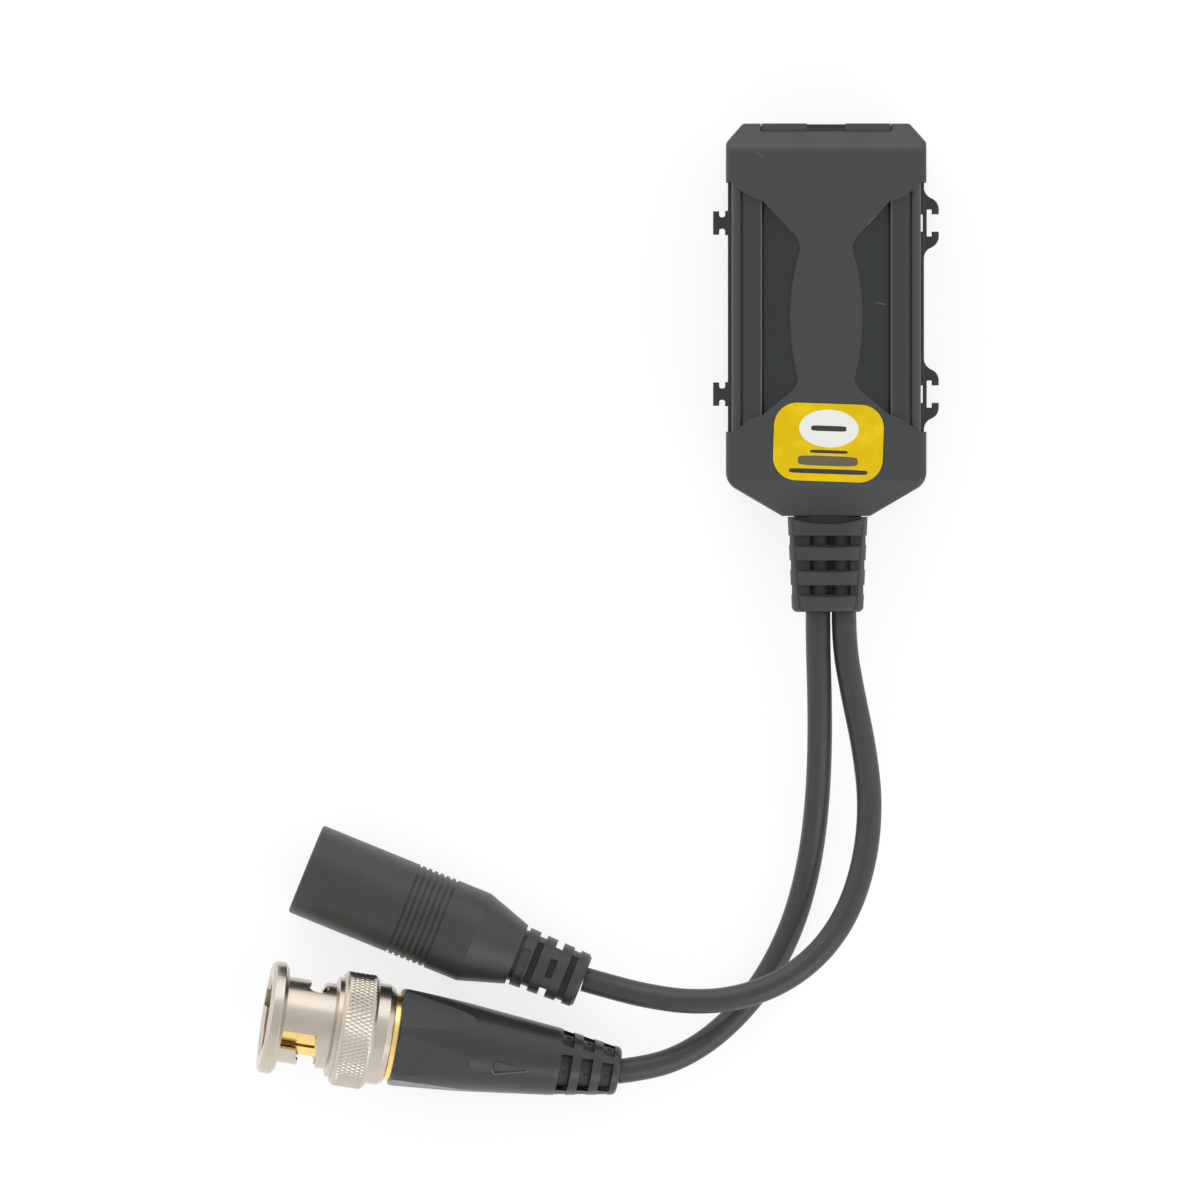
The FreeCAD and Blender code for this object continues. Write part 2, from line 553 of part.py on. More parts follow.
def pocket(body, name, sketch, length, reverse=False, both=False):
    """A cut, which fails loudly when it takes nothing away."""
    before = body.Shape.Volume
    item = feature(body, "Pocket", name, sketch, length, reverse, both)
    if body.Shape.Volume > before - 1e-6:
        raise RuntimeError("pocket %s of %s cuts nothing" % (name, body.Label))
    return item


def turned(body, name, points, role="XY_Plane", kind="Revolution"):
    """A profile of (along, radius) points turned about the body's own X."""
    sketch = newSketch(body, name + "Profile", role)
    outline(sketch, points)
    item = body.newObject("PartDesign::" + kind, name)
    item.Profile = sketch
    item.ReferenceAxis = (sketch, ["H_Axis"])
    item.Angle = 360
    doc.recompute()
    return item


def polar(body, name, originals, count, role="X_Axis"):
    item = body.newObject("PartDesign::PolarPattern", name)
    item.Originals = originals
    item.Axis = (originPart(body, role), [""])
    item.Angle = 360
    item.Occurrences = count
    body.Tip = item
    doc.recompute()
    return item


def along(body, name, originals, role, pitch, count, reverse=False):
    item = body.newObject("PartDesign::LinearPattern", name)
    item.Originals = originals
    item.Direction = (originPart(body, role), [""])
    item.Reversed = reverse
    item.Occurrences = count
    item.Length = numberOf(pitch) * (count - 1)
    item.setExpression("Length", (pitch * (count - 1)).text)
    body.Tip = item
    doc.recompute()
    return item


def mirrored(body, name, originals, role):
    item = body.newObject("PartDesign::Mirrored", name)
    item.Originals = originals
    item.MirrorPlane = (originPart(body, role), [""])
    body.Tip = item
    doc.recompute()
    return item


def edgesWhere(shape, test):
    return ["Edge%d" % (index + 1) for index, edge in enumerate(shape.Edges) if test(edge)]


def dress(body, kind, name, test, amount):
    """A fillet or chamfer on the edges that pass a test of their place."""
    base = body.Tip
    names = edgesWhere(base.Shape, test)
    if not names:
        raise RuntimeError("%s of %s finds no edge" % (name, body.Label))
    item = body.newObject("PartDesign::" + kind, name)
    item.Base = (base, names)
    field = "Radius" if kind == "Fillet" else "Size"
    setattr(item, field, amount.number)
    item.setExpression(field, amount.text)
    doc.recompute()
    return item


def near(value, goal, room=0.02):
    return abs(value - numberOf(goal)) < room


def isLevel(edge, height):
    box = edge.BoundBox
    return near(box.ZMin, height) and near(box.ZMax, height)


def isUpright(edge):
    box = edge.BoundBox
    return box.XLength < 0.01 and box.YLength < 0.01


def finish(item, label=None):
    """Marks an object as a sub-part that is written to its own file."""
    if label:
        item.Label = label
    subParts.append(item)
    return item


def place(item, across, alongCase, height, turn, tilt=Size(0, "0")):
    """Moves an object to a point, turned about the upright and with its own X raised."""
    where = "vector(%s; %s; %s)" % (across.text, alongCase.text, height.text)
    spin = "rotationz(%s) * rotationy(0 - %s)" % (turn.text, tilt.text)
    item.setExpression("Placement", "placement(%s; %s)" % (where, spin))


# Case shells

def caseOutline(sketch):
    """Plan of the case: cut corners at the socket end, a taper at the cable end."""
    outline(sketch, [
        (noseHalf, halfLength), (-noseHalf, halfLength),
        (-halfWidth, halfLength - noseCut), (-halfWidth, tailRun - halfLength),
        (-tailWidth / 2, -halfLength), (tailWidth / 2, -halfLength),
        (halfWidth, tailRun - halfLength), (halfWidth, halfLength - noseCut)])


def innerOutline(sketch, inset):
    """The case's inside, at an inset from its outline, square at the cable end."""
    side = halfWidth - inset
    front = halfLength - inset
    noseInner = noseHalf - inset * cornerShare
    noseLow = front - noseCut + inset * (1 - cornerShare)
    back = tailCavity - halfLength - (wall - inset)
    outline(sketch, [
        (noseInner, front), (-noseInner, front), (-side, noseLow), (-side, back + tailCorner),
        (tailCorner - side, back), (side - tailCorner, back), (side, back + tailCorner),
        (side, noseLow)])


def endCuts(body, face, outward):
    """The slope at the socket end and the taper at the cable end of one shell."""
    sketch = newSketch(body, "EndProfile", "YZ_Plane")
    beyond = face + outward * wall
    noseLow = face - outward * noseDrop
    tailLow = face - outward * tailDrop
    outline(sketch, [
        (halfLength - noseRun, face), (halfLength, noseLow), (halfLength + wall, noseLow),
        (halfLength + wall, beyond), (halfLength - noseRun, beyond)])
    outline(sketch, [
        (tailRun - halfLength, face), (-halfLength, tailLow), (-halfLength - wall, tailLow),
        (-halfLength - wall, beyond), (tailRun - halfLength, beyond)])
    pocket(body, "EndCuts", sketch, caseWidth * 2, both=True)


def isShoulder(edge):
    box = edge.BoundBox
    return isUpright(edge) and near(abs(box.XMin), halfWidth) and near(box.YMin, tailRun - halfLength)


def isNoseCorner(edge):
    box = edge.BoundBox
    return isUpright(edge) and box.YMin > numberOf(halfLength - noseCut) - 0.02


def startsSlope(face):
    """Edges across the face where its end slopes begin."""
    starts = (numberOf(halfLength - noseRun), numberOf(tailRun - halfLength))

    def test(edge):
        box = edge.BoundBox
        across = box.YLength < 0.01 and isLevel(edge, face)
        return across and min(abs(box.YMin - start) for start in starts) < 0.02

    return test


def isFaceEdge(edge):
    """Edges round the face and its slopes, clear of the joint between the shells."""
    box = edge.BoundBox
    joint = near(box.ZMin, splitHeight) or near(box.ZMax, splitHeight)
    return not joint


def shellBody(name, base, height, face, outward):
    body = newBody(name)
    sketch = newSketch(body, "Plan", "XY_Plane", base)
    caseOutline(sketch)
    pad(body, "Block", sketch, height)
    dress(body, "Fillet", "ShoulderRounding", isShoulder, shoulderRound)
    dress(body, "Fillet", "NoseRounding", isNoseCorner, noseRound)
    endCuts(body, face, outward)
    dress(body, "Fillet", "SlopeRounding", startsSlope(face), slopeRound)
    dress(body, "Fillet", "FaceRounding", isFaceEdge, edgeRound)
    return body


def socketWindow(body, low, high):
    sketch = newSketch(body, "Window", "XZ_Plane", -halfLength - wall)
    half = socketWidth / 2 + windowGap
    rectangle(sketch, -half, half, low, high)
    pocket(body, "SocketWindow", sketch, wall * 3, reverse=True)


def reliefPassage(body):
    sketch = newSketch(body, "Passage", "XZ_Plane", halfLength + wall)
    roundedBox(sketch, reliefCenter, exitHeight, neckWide + fitGap * 2, neckDeep + fitGap * 2,
               neckRound + fitGap)
    pocket(body, "CablePassage", sketch, tailCavity + wall * 2)


def gripTool():
    """What the grip panels take off the front: the panels' plan less their section."""
    plan = newBody("PanelPlan")
    sketch = newSketch(plan, "PanelOutline", "XY_Plane", splitHeight - tongueDrop * 2)
    beyond = halfWidth + wall
    outline(sketch, [
        (beyond, panelTop),
        (halfWidth - panelInset, panelTop, panelTopBend, 1),
        (ridgeOut, fanTop),
        (waistOut + flareOut, waistTop + flareLong, waistBend, -1),
        (waistOut, waistTop, bellyBend, 1),
        (waistOut, -waistLow, waistLowBend, -1),
        (waistOut + flareOut, -waistLow - flareLow),
        (ridgeOut, -fanLow, panelLowBend, 1),
        (halfWidth - panelInset - crestRound / 2, -panelBottom),
        (beyond, -panelBottom)])
    pad(plan, "PanelBlock", sketch, caseDepth)
    mirrored(plan, "BothPanels", [plan.Tip], "YZ_Plane")

    section = newBody("PanelSection")
    sketch = newSketch(section, "SectionProfile", "XZ_Plane", -panelTop - wall)
    side = halfWidth - panelInset
    face = caseDepth
    groove = grooveOut + grooveWide
    half = [
        (ridgeOut - ridgeFoot, face - facetDrop), (ridgeOut, face - ridgeDrop),
        (grooveOut, face - bandDrop), (grooveOut, face - bandDrop - grooveDeep),
        (groove, face - bandDrop - grooveDeep), (groove, face - bandDrop)]
    low = splitHeight - tongueDrop * 3
    inner = face - panelStep
    outline(sketch, [
        (-waistOut, inner), (waistOut, inner)] + half + [
        (side - crestRound, face - bandDrop, crestRound, 1), (side, face - bandDrop - crestRound),
        (side, low), (-side, low), (-side, face - bandDrop - crestRound, crestRound, 1),
        (crestRound - side, face - bandDrop)] + [(-point[0], point[1]) for point in reversed(half)])
    pad(section, "SectionBlock", sketch, panelTop + panelBottom + wall * 2)

    tool = doc.addObject("Part::Cut", "PanelTool")
    tool.Base = plan
    tool.Tool = section
    doc.recompute()
    return tool


def frontCover():
    body = shellBody("front_shell", splitHeight, caseDepth - splitHeight, caseDepth, 1)
    sketch = newSketch(body, "Tongue", "XY_Plane", splitHeight)
    innerOutline(sketch, wall)
    innerOutline(sketch, wall - tongueWidth)
    pad(body, "TongueRing", sketch, tongueDrop, reverse=True)
    sketch = newSketch(body, "Cavity", "XY_Plane", splitHeight)
    innerOutline(sketch, wall)
    pocket(body, "CavityCut", sketch, innerTop - splitHeight, reverse=True)
    socketWindow(body, splitHeight - tongueDrop * 2, socketTop + windowGap)
    reliefPassage(body)
    cut = doc.addObject("Part::Cut", "front_cover")
    cut.Base = body
    cut.Tool = gripTool()
    doc.recompute()
    finish(cut, "front_cover")


def sidePanels(body):
    """The back shell's sides step in a little beside the panels, as a thin rail."""
    sketch = newSketch(body, "RailPlan", "XY_Plane")
    for side in (1, -1):
        outline(sketch, [
            (side * (halfWidth - railInset), panelTop), (side * (halfWidth + wall), panelTop),
            (side * (halfWidth + wall), -panelBottom), (side * (halfWidth - railInset), -panelBottom)])
    pocket(body, "RailCut", sketch, splitHeight * 2, both=True)


def lockTabs(body):
    sketch = newSketch(body, "TabPlan", "XY_Plane", lockLow)
    wallFace = halfWidth - railInset
    left = -lockReach
    fillet = tabFillet
    neckHigh = lockUpper + tabNeck / 2
    neckLow = lockUpper - tabNeck / 2
    baseFace = -wallFace - tabBaseThick
    outline(sketch, [
        (-wallFace + lockRoot, lockUpper + tabBase / 2), (baseFace, lockUpper + tabBase / 2),
        (baseFace, neckHigh + fillet, fillet, 1), (baseFace - fillet, neckHigh),
        (left + tabThick + fillet, neckHigh, fillet, 1), (left + tabThick, neckHigh + fillet),
        (left + tabThick, lockUpper + tabHead / 2), (left, lockUpper + tabHead / 2),
        (left, lockUpper - tabHead / 2), (left + tabThick, lockUpper - tabHead / 2),
        (left + tabThick, neckLow - fillet, fillet, 1), (left + tabThick + fillet, neckLow),
        (baseFace - fillet, neckLow, fillet, 1), (baseFace, neckLow - fillet),
        (baseFace, lockUpper - tabBase / 2), (-wallFace + lockRoot, lockUpper - tabBase / 2)])
    tab = pad(body, "Tab", sketch, lockHigh - lockLow)
    along(body, "Tabs", [tab], "Y_Axis", lockPitch, 2, reverse=True)


def lockHooks(body):
    sketch = newSketch(body, "HookPlan", "XY_Plane", lockLow)
    wallFace = halfWidth - railInset
    hollowIn = lockReach - hookTip - hookHollowWide
    tipIn = lockReach - hookTip
    mouth = hookMouth / 2
    hollow = hookHollow / 2
    rise = mouth + hookArm
    flare = lockReach - wallFace
    middle = wallFace + flare / 2
    bend = (flare * flare + hookRun * hookRun) / (flare * 4)
    outline(sketch, [
        (wallFace - lockRoot, lockUpper + rise + hookRun),
        (wallFace, lockUpper + rise + hookRun, bend, -1),
        (middle, lockUpper + rise + hookRun / 2, bend, 1),
        (lockReach, lockUpper + rise), (lockReach, lockUpper + mouth), (tipIn, lockUpper + mouth),
        (tipIn, lockUpper + hollow), (hollowIn, lockUpper + hollow),
        (hollowIn, lockUpper - hollow), (tipIn, lockUpper - hollow),
        (tipIn, lockUpper - mouth), (lockReach, lockUpper - mouth),
        (lockReach, lockUpper - rise, bend, 1),
        (middle, lockUpper - rise - hookRun / 2, bend, -1), (wallFace, lockUpper - rise - hookRun),
        (wallFace - lockRoot, lockUpper - rise - hookRun)])
    hook = pad(body, "Hook", sketch, lockHigh - lockLow)
    along(body, "Hooks", [hook], "Y_Axis", lockPitch, 2, reverse=True)
    sketch = newSketch(body, "SlitPlan", "XY_Plane")
    slitOut = hollowIn - hookBack
    rectangle(sketch, slitOut - hookSlit, slitOut, lockUpper - mouth, lockUpper + mouth)
    slit = pocket(body, "Slit", sketch, splitHeight * 2, both=True)
    along(body, "Slits", [slit], "Y_Axis", lockPitch, 2, reverse=True)


def rearCover():
    body = shellBody("rear_cover", Size(0, "0"), splitHeight, Size(0, "0"), -1)
    sketch = newSketch(body, "Cavity", "XY_Plane", wall)
    innerOutline(sketch, wall)
    pocket(body, "CavityCut", sketch, splitHeight, reverse=True)
    sketch = newSketch(body, "Rebate", "XY_Plane", splitHeight - tongueDrop - fitGap)
    innerOutline(sketch, wall - tongueWidth - fitGap)
    pocket(body, "RebateCut", sketch, splitHeight, reverse=True)
    socketWindow(body, boardBase - fitGap, splitHeight + wall)
    reliefPassage(body)
    sidePanels(body)
    lockTabs(body)
    lockHooks(body)
    for name, radius, top in (("Post", postRadius, boardBase), ("PostPin", postPinRadius, boardTop)):
        sketch = newSketch(body, name + "Plan", "XY_Plane", wall)
        for side in (1, -1):
            for end in (boardFront - postInset * 2, postInset - boardBack):
                circle(sketch, side * (boardHalf - postInset), end, radius)
        pad(body, name + "s", sketch, top - wall)
    finish(body)


def label():
    body = newBody("label")
    sketch = newSketch(body, "Plan", "XY_Plane")
    zero = Size(0, "0")
    roundedBox(sketch, zero, zero, labelWidth, labelHeight, labelRound)
    pad(body, "Sheet", sketch, labelThick)
    place(body, labelAcross, -labelBelow, caseDepth, labelTurn)
    finish(body)


# Network socket and circuit board

def circuitBoard():
    body = newBody("circuit_board")
    sketch = newSketch(body, "Plan", "XY_Plane", boardBase)
    corner = boardCorner
    half = boardHalf
    outline(sketch, [
        (half - corner, boardFront), (corner - half, boardFront), (-half, boardFront - corner),
        (-half, -boardBack), (half, -boardBack), (half, boardFront - corner)])
    pad(body, "Board", sketch, boardThick)
    sketch = newSketch(body, "Holes", "XY_Plane", boardBase)
    for side in (1, -1):
        for end in (boardFront - postInset * 2, postInset - boardBack):
            circle(sketch, side * (boardHalf - postInset), end, postPinRadius + fitGap)
        circle(sketch, side * pegOut, socketFace - pegSetback, pegRadius + fitGap)
    pocket(body, "PostHoles", sketch, boardThick, reverse=True)
    sketch = newSketch(body, "PinHole", "XY_Plane", boardBase)
    circle(sketch, -wirePitch * (wireCount - 1) / 2, socketFace - socketDepth + carrierDepth / 2,
           pinHoleRadius)
    hole = pocket(body, "PinHoleCut", sketch, boardThick, reverse=True)
    along(body, "PinHoles", [hole], "X_Axis", wirePitch, wireCount)
    finish(body)


def socketHousing():
    body = newBody("socket_housing")
    back = socketFace - socketDepth
    half = socketWidth / 2
    sketch = newSketch(body, "Plan", "XY_Plane", boardTop)
    rectangle(sketch, -half, half, back, socketFace)
    pad(body, "Block", sketch, socketTop - boardTop)

    portLow = boardTop + portBase
    portTop = portLow + portHeight
    sketch = newSketch(body, "Port", "XZ_Plane", -socketFace)
    rectangle(sketch, -portWidth / 2, portWidth / 2, portLow, portTop)
    pocket(body, "PortCut", sketch, portDeep, reverse=True)
    sketch = newSketch(body, "Latch", "XZ_Plane", -socketFace)
    rectangle(sketch, -latchWidth / 2, latchWidth / 2, portTop - fitGap, portTop + latchHeight)
    pocket(body, "LatchCut", sketch, latchDeep, reverse=True)
    sketch = newSketch(body, "LatchNotch", "XZ_Plane", -socketFace)
    rectangle(sketch, -latchNotchWidth / 2, latchNotchWidth / 2, portTop, socketTop + wall)
    pocket(body, "LatchNotchCut", sketch, latchNotchDeep, reverse=True)

    sketch = newSketch(body, "WireChannel", "XZ_Plane", -back)
    rectangle(sketch, -wireChannel / 2, wireChannel / 2, boardTop + wireLow - wireThick,
              portLow + fitGap)
    pocket(body, "WireChannelCut", sketch, socketDepth - wall)
    sketch = newSketch(body, "CarrierSeat", "XZ_Plane", -back)
    seatHalf = carrierWidth / 2 + fitGap
    rectangle(sketch, -seatHalf, seatHalf, boardTop - wall, boardTop + carrierHeight + fitGap)
    pocket(body, "CarrierSeatCut", sketch, carrierDepth + fitGap)

    sketch = newSketch(body, "Pegs", "XY_Plane", boardTop)
    for side in (1, -1):
        circle(sketch, side * pegOut, socketFace - pegSetback, pegRadius)
    pad(body, "PegPair", sketch, boardThick, reverse=True)
    finish(body)


def contactCarrier():
    body = newBody("contact_carrier")
    back = socketFace - socketDepth
    sketch = newSketch(body, "Plan", "XY_Plane", boardTop)
    rectangle(sketch, -carrierWidth / 2, carrierWidth / 2, back, back + carrierDepth)
    pad(body, "Block", sketch, carrierHeight)
    sketch = newSketch(body, "WireSpace", "YZ_Plane")
    centre = back + carrierDepth / 2
    rectangle(sketch, centre - wireThick, back + carrierDepth + wall, boardTop - wall,
              boardTop + wireLow + wireThick / 2)
    pocket(body, "WireSpaceCut", sketch, wireChannel, both=True)
    finish(body)


def contactWires():
    """Eight bent wires: a pin through the board, a flat run and a rising free end."""
    body = newBody("contact_wires")
    body.AllowCompound = True
    centre = socketFace - socketDepth + carrierDepth / 2
    half = wireThick / 2
    sketch = newSketch(body, "WireProfile", "YZ_Plane")
    flat = boardTop + wireLow
    bendAt = socketFace - wireBendSetback
    tipAt = socketFace - wireTipSetback
    foot = boardBase - wireFoot
    tipTop = boardTop + wireRise
    outline(sketch, [
        (centre - half, foot), (centre + half, foot), (centre + half, flat - half),
        (bendAt, flat - half), (bendAt + wireThick * 1.5, flat + wireThick),
        (bendAt, flat + wireThick * 2), (tipAt, tipTop), (tipAt - half, tipTop - wireThick),
        (bendAt - half, flat + wireThick), (bendAt, flat + half),
        (centre - half, flat + half)])
    wire = pad(body, "Wire", sketch, wireThick, both=True)
    item = along(body, "Wires", [wire], "X_Axis", wirePitch, wireCount)
    body.Placement = FreeCAD.Placement(
        vector(-wirePitch.number * (wireCount - 1) / 2, 0, 0), FreeCAD.Rotation())
    body.setExpression("Placement.Base.x", (-wirePitch * (wireCount - 1) / 2).text)
    finish(body)
    return item


# Parts on the board

def transformer():
    zero = Size(0, "0")
    core = newBody("transformer_core")
    base = windingThick
    sketch = newSketch(core, "Ring", "XY_Plane", base)
    circle(sketch, 0, 0, coreRadius)
    circle(sketch, 0, 0, coreHole)
    pad(core, "RingPad", sketch, coreHeight)
    place(core, zero, coreAlong, boardTop, zero)
    finish(core)

    winding = newBody("transformer_winding")
    winding.AllowCompound = True
    sketch = newSketch(winding, "WindingSection", "XZ_Plane")
    rectangle(sketch, coreHole - windingThick, coreRadius + windingThick, 0,
              coreHeight + windingThick * 2)
    rectangle(sketch, coreHole, coreRadius, windingThick, windingThick + coreHeight)
    turn = winding.newObject("PartDesign::Revolution", "Coil")
    turn.Profile = sketch
    turn.ReferenceAxis = (sketch, ["V_Axis"])
    turn.Angle = windingSpan.number
    turn.setExpression("Angle", windingSpan.text)
    doc.recompute()
    polar(winding, "Coils", [turn], 2, "Z_Axis")
    place(winding, zero, coreAlong, boardTop, 90 - windingSpan / 2)
    finish(winding)


def choke():
    body = newBody("choke")
    sketch = newSketch(body, "Plan", "XY_Plane")
    rectangle(sketch, -chokeLength / 2, chokeLength / 2, -chokeWidth / 2, chokeWidth / 2)
    pad(body, "Block", sketch, chokeHeight)
    sketch = newSketch(body, "WireSpace", "XY_Plane")
    inner = chokeLength / 2 - chokeFlange
    for side in (1, -1):
        rectangle(sketch, -inner, inner, side * (chokeWidth / 2 - chokeWaist), side * chokeWidth)
    pocket(body, "WireSpaceCut", sketch, chokeHeight, reverse=True)
    place(body, chokeAcross, chokeAlong, boardTop, Size(0, "0"))
    finish(body)


def surgeArresters():
    body = newBody("surge_arresters")
    body.AllowCompound = True
    sketch = newSketch(body, "Section", "YZ_Plane")
    circle(sketch, 0, arresterRadius, arresterRadius)
    tube = pad(body, "Tube", sketch, arresterLength, both=True)
    along(body, "Tubes", [tube], "Y_Axis", arresterPitch, 2, reverse=True)
    place(body, arresterAcross, arresterAlong, boardTop, Size(0, "0"))
    finish(body)


def capacitor():
    body = newBody("capacitor")
    sketch = newSketch(body, "Plan", "XY_Plane")
    circle(sketch, 0, 0, capRadius)
    pad(body, "Can", sketch, capHeight)
    dress(body, "Fillet", "Rim", lambda edge: isLevel(edge, capHeight), capRim)
    place(body, capAcross, capAlong, boardTop, Size(0, "0"))
    finish(body)


# Cables, inner leads and strain relief

def routeWire(points, name):
    """Straight runs joined by tangent arcs, each as large as its two runs allow."""
    corners = [vector(*point) for point in points]
    edges = []
    radii = []
    start = corners[0]
    for before, corner, after in zip(corners, corners[1:], corners[2:]):
        back = before - corner
        ahead = after - corner
        turn = math.pi - back.getAngle(ahead)
        cut = arcShare * min(back.Length, ahead.Length)
        radii.append(cut / math.tan(turn / 2))
        first = corner + back.normalize() * cut
        last = corner + ahead.normalize() * cut
        middle = (back + ahead).normalize()
        centre = corner + middle * math.hypot(cut, radii[-1])
        top = centre - middle * radii[-1]
        edges.append(Part.LineSegment(start, first).toShape())
        edges.append(Part.Arc(first, top, last).toShape())
        start = last
    edges.append(Part.LineSegment(start, corners[-1]).toShape())
    wire = Part.Wire(edges)
    print("%s: length %.2f, radii %s" % (name, wire.Length, [round(radius, 1) for radius in radii]))
    return wire


def tubeShape(points, radius, name):
    wire = routeWire(points, name)
    heading = vector(*points[1]) - vector(*points[0])
    ring = Part.Wire(Part.Circle(vector(*points[0]), heading, radius).toShape())
    shape = wire.makePipeShell([ring], True, False)
    wanted = math.pi * radius ** 2 * wire.Length
    if abs(shape.Volume / wanted - 1) > 0.01:
        raise RuntimeError("tube %s has the wrong volume" % name)
    return shape


def cables():
    for name, route in (("video_cable", videoRoute), ("power_cable", powerRoute)):
        item = doc.addObject("Part::Feature", name)
        item.Shape = tubeShape(route, cordRadius.number, name)
        finish(item, name)


def innerLeads():
    """Two leads of each cable, from the collar down to the board."""
    start = numberOf(tailCavity - halfLength + collarThick)
    top = exitHeight.number
    bottom = boardTop.number
    bend = start + leadRun.number
    for name, route in (("video_leads", videoRoute), ("power_leads", powerRoute)):
        shapes = []
        for side in (-0.5, 0.5):
            across = route[0][0] + side * leadSpacing.number
            points = [(across, start, top), (across, bend, top), (across, bend, bottom)]
            shapes.append(tubeShape(points, leadRadius.number, name))
        item = doc.addObject("Part::Feature", name)
        item.Shape = Part.makeCompound(shapes)
        finish(item, name)


def strainRelief():
    body = newBody("strain_relief")
    end = halfLength + reliefLength
    start = halfLength + reliefGap
    first = newSketch(body, "SectionAtCase", "XZ_Plane", start)
    roundedBox(first, reliefCenter, exitHeight, reliefWide, reliefDeep, reliefRound)
    last = newSketch(body, "SectionAtEnd", "XZ_Plane", end)
    roundedBox(last, reliefCenter, exitHeight, reliefEndWide, reliefEndDeep, reliefRound)
    loft = body.newObject("PartDesign::AdditiveLoft", "Grip")
    loft.Profile = first
    loft.Sections = [last]
    loft.Ruled = True
    doc.recompute()
    dress(body, "Fillet", "EndRounding", lambda edge: near(edge.BoundBox.YMax, -end), reliefEndRound)

    # Shallow grooves, front and back, with windows at their middle
    bend = (reliefWide * reliefWide / 4 + slotSag * slotSag) / (slotSag * 2)
    for name, turn, reverse in (("Front", 1, True), ("Back", -1, False)):
        sketch = newSketch(body, name + "Grooves", "XY_Plane", exitHeight + slotFloor * turn)
        low = newSketch(body, name + "Windows", "XY_Plane", exitHeight + openCore * turn)
        left = reliefCenter - reliefWide / 2
        right = reliefCenter + reliefWide / 2
        for index in range(ribCount):
            upper = -(halfLength + slotFirst + ribPitch * index)
            lower = upper - slotWide
            outline(sketch, [
                (left, upper), (left, lower, bend, -1), (right, lower), (right, upper)])
            rectangle(low, openAcross - openHalf, openAcross + openHalf, lower, upper)
        pocket(body, name + "GrooveCut", sketch, reliefDeep, reverse=reverse)
        pocket(body, name + "WindowCut", low, reliefDeep, reverse=reverse)

    # The crescent between the case and the first rib
    arch = (reliefWide * reliefWide / 4 + crescentDeep * crescentDeep) / (crescentDeep * 2)
    for name, turn, reverse in (("Front", 1, True), ("Back", -1, False)):
        sketch = newSketch(body, name + "Crescent", "XY_Plane", exitHeight + neckDeep / 2 * turn)
        upper = reliefGap - halfLength
        outline(sketch, [
            (left, upper), (left, -start, arch, -1), (right, -start), (right, upper)])
        pocket(body, name + "CrescentCut", sketch, reliefDeep, reverse=reverse)

    # Shallow nicks at the sides, so that the ribs stand proud all round
    sketch = newSketch(body, "SideNicks", "XY_Plane", exitHeight)
    for index in range(ribCount):
        upper = -(halfLength + slotFirst + ribPitch * index)
        narrow = (reliefWide - reliefEndWide) / 2 * (slotFirst + ribPitch * index) / reliefLength
        inner = reliefWide / 2 - narrow - slotNick
        for side in (1, -1):
            rectangle(sketch, reliefCenter + side * inner, reliefCenter + side * reliefWide,
                      upper - slotWide, upper)
    pocket(body, "SideNickCut", sketch, reliefDeep * 2, both=True)

    # The two cables show as round cores in the windows
    sketch = newSketch(body, "CoreSection", "XZ_Plane", start)
    for across in (videoExit, powerExit):
        circle(sketch, across, exitHeight, cordRadius + coreCover)
    pad(body, "Cores", sketch, reliefLength - reliefGap * 2)

    neckStart = halfLength - tailCavity
    sketch = newSketch(body, "NeckSection", "XZ_Plane", start)
    roundedBox(sketch, reliefCenter, exitHeight, neckWide, neckDeep, neckRound)
    pad(body, "Neck", sketch, start - neckStart, reverse=True)
    sketch = newSketch(body, "CollarSection", "XZ_Plane", neckStart)
    roundedBox(sketch, reliefCenter, exitHeight, collarWide, collarDeep, neckRound)
    pad(body, "Collar", sketch, collarThick, reverse=True)
    finish(body)


# Video plug

def plugBody(name):
    body = newBody(name)
    return body


def seat(body):
    place(body, plugAcross, plugAlong, plugHeight, plugTurn, plugTilt)
    finish(body)


def plugBoot():
    body = newBody("plug_boot")
    turned(body, "Cone", [
        (0, 0), (0, bootEnd - bootEdge / 2, bootEdge, 1), (bootEdge / 2, bootEnd),
        (bootMiddleAt, bootMiddle), (bootLength - bootEdge, bootFront, bootEdge, 1),
        (bootLength, bootFront - bootEdge), (bootLength, bootBore), (bootBoreFrom, bootBore),
        (bootBoreFrom, ferruleRadius + fitGap), (bootSmallFrom, ferruleRadius + fitGap),
        (bootSmallFrom, 0)])

    # Flats round the grip, cut a little deeper towards the nut
    sketch = newSketch(body, "FlatProfile", "XZ_Plane")
    slope = (bootFront - bootMiddle) / (bootLength - bootMiddleAt)
    atStart = bootMiddle + slope * (flatFrom - bootMiddleAt)
    outline(sketch, [
        (flatFrom, atStart), (bootLength + wall, bootFront - flatDeep),
        (bootLength + wall, bootFront * 2), (flatFrom, bootFront * 2)])
    turnSketch(sketch, flatTurn)
    flat = pocket(body, "Flat", sketch, bootFront * 2, both=True)
    polar(body, "Flats", [flat], flatCount)

    # A teardrop recess that runs out towards the cable
    sketch = newSketch(body, "DropPlan", "XY_Plane")
    outline(sketch, [
        (dropPoint, 0), (dropAt, -dropHalf, dropRadius, -1), (dropAt, dropHalf)])
    turnSketch(sketch, windowTurn, dropFloor)
    pocket(body, "Drop", sketch, bootFront, reverse=True)

    # Three rings of four windows, which make the tail flexible
    sketch = newSketch(body, "WindowPlan", "XY_Plane")
    for index in range(3):
        low = windowFirst + windowPitch * index
        half = windowHalf + windowGrow * index
        rectangle(sketch, low, low + windowWide, -half, half)
    turnSketch(sketch, windowTurn, windowCore)
    window = pocket(body, "Window", sketch, bootFront, reverse=True)
    polar(body, "Windows", [window], 4)
    seat(body)


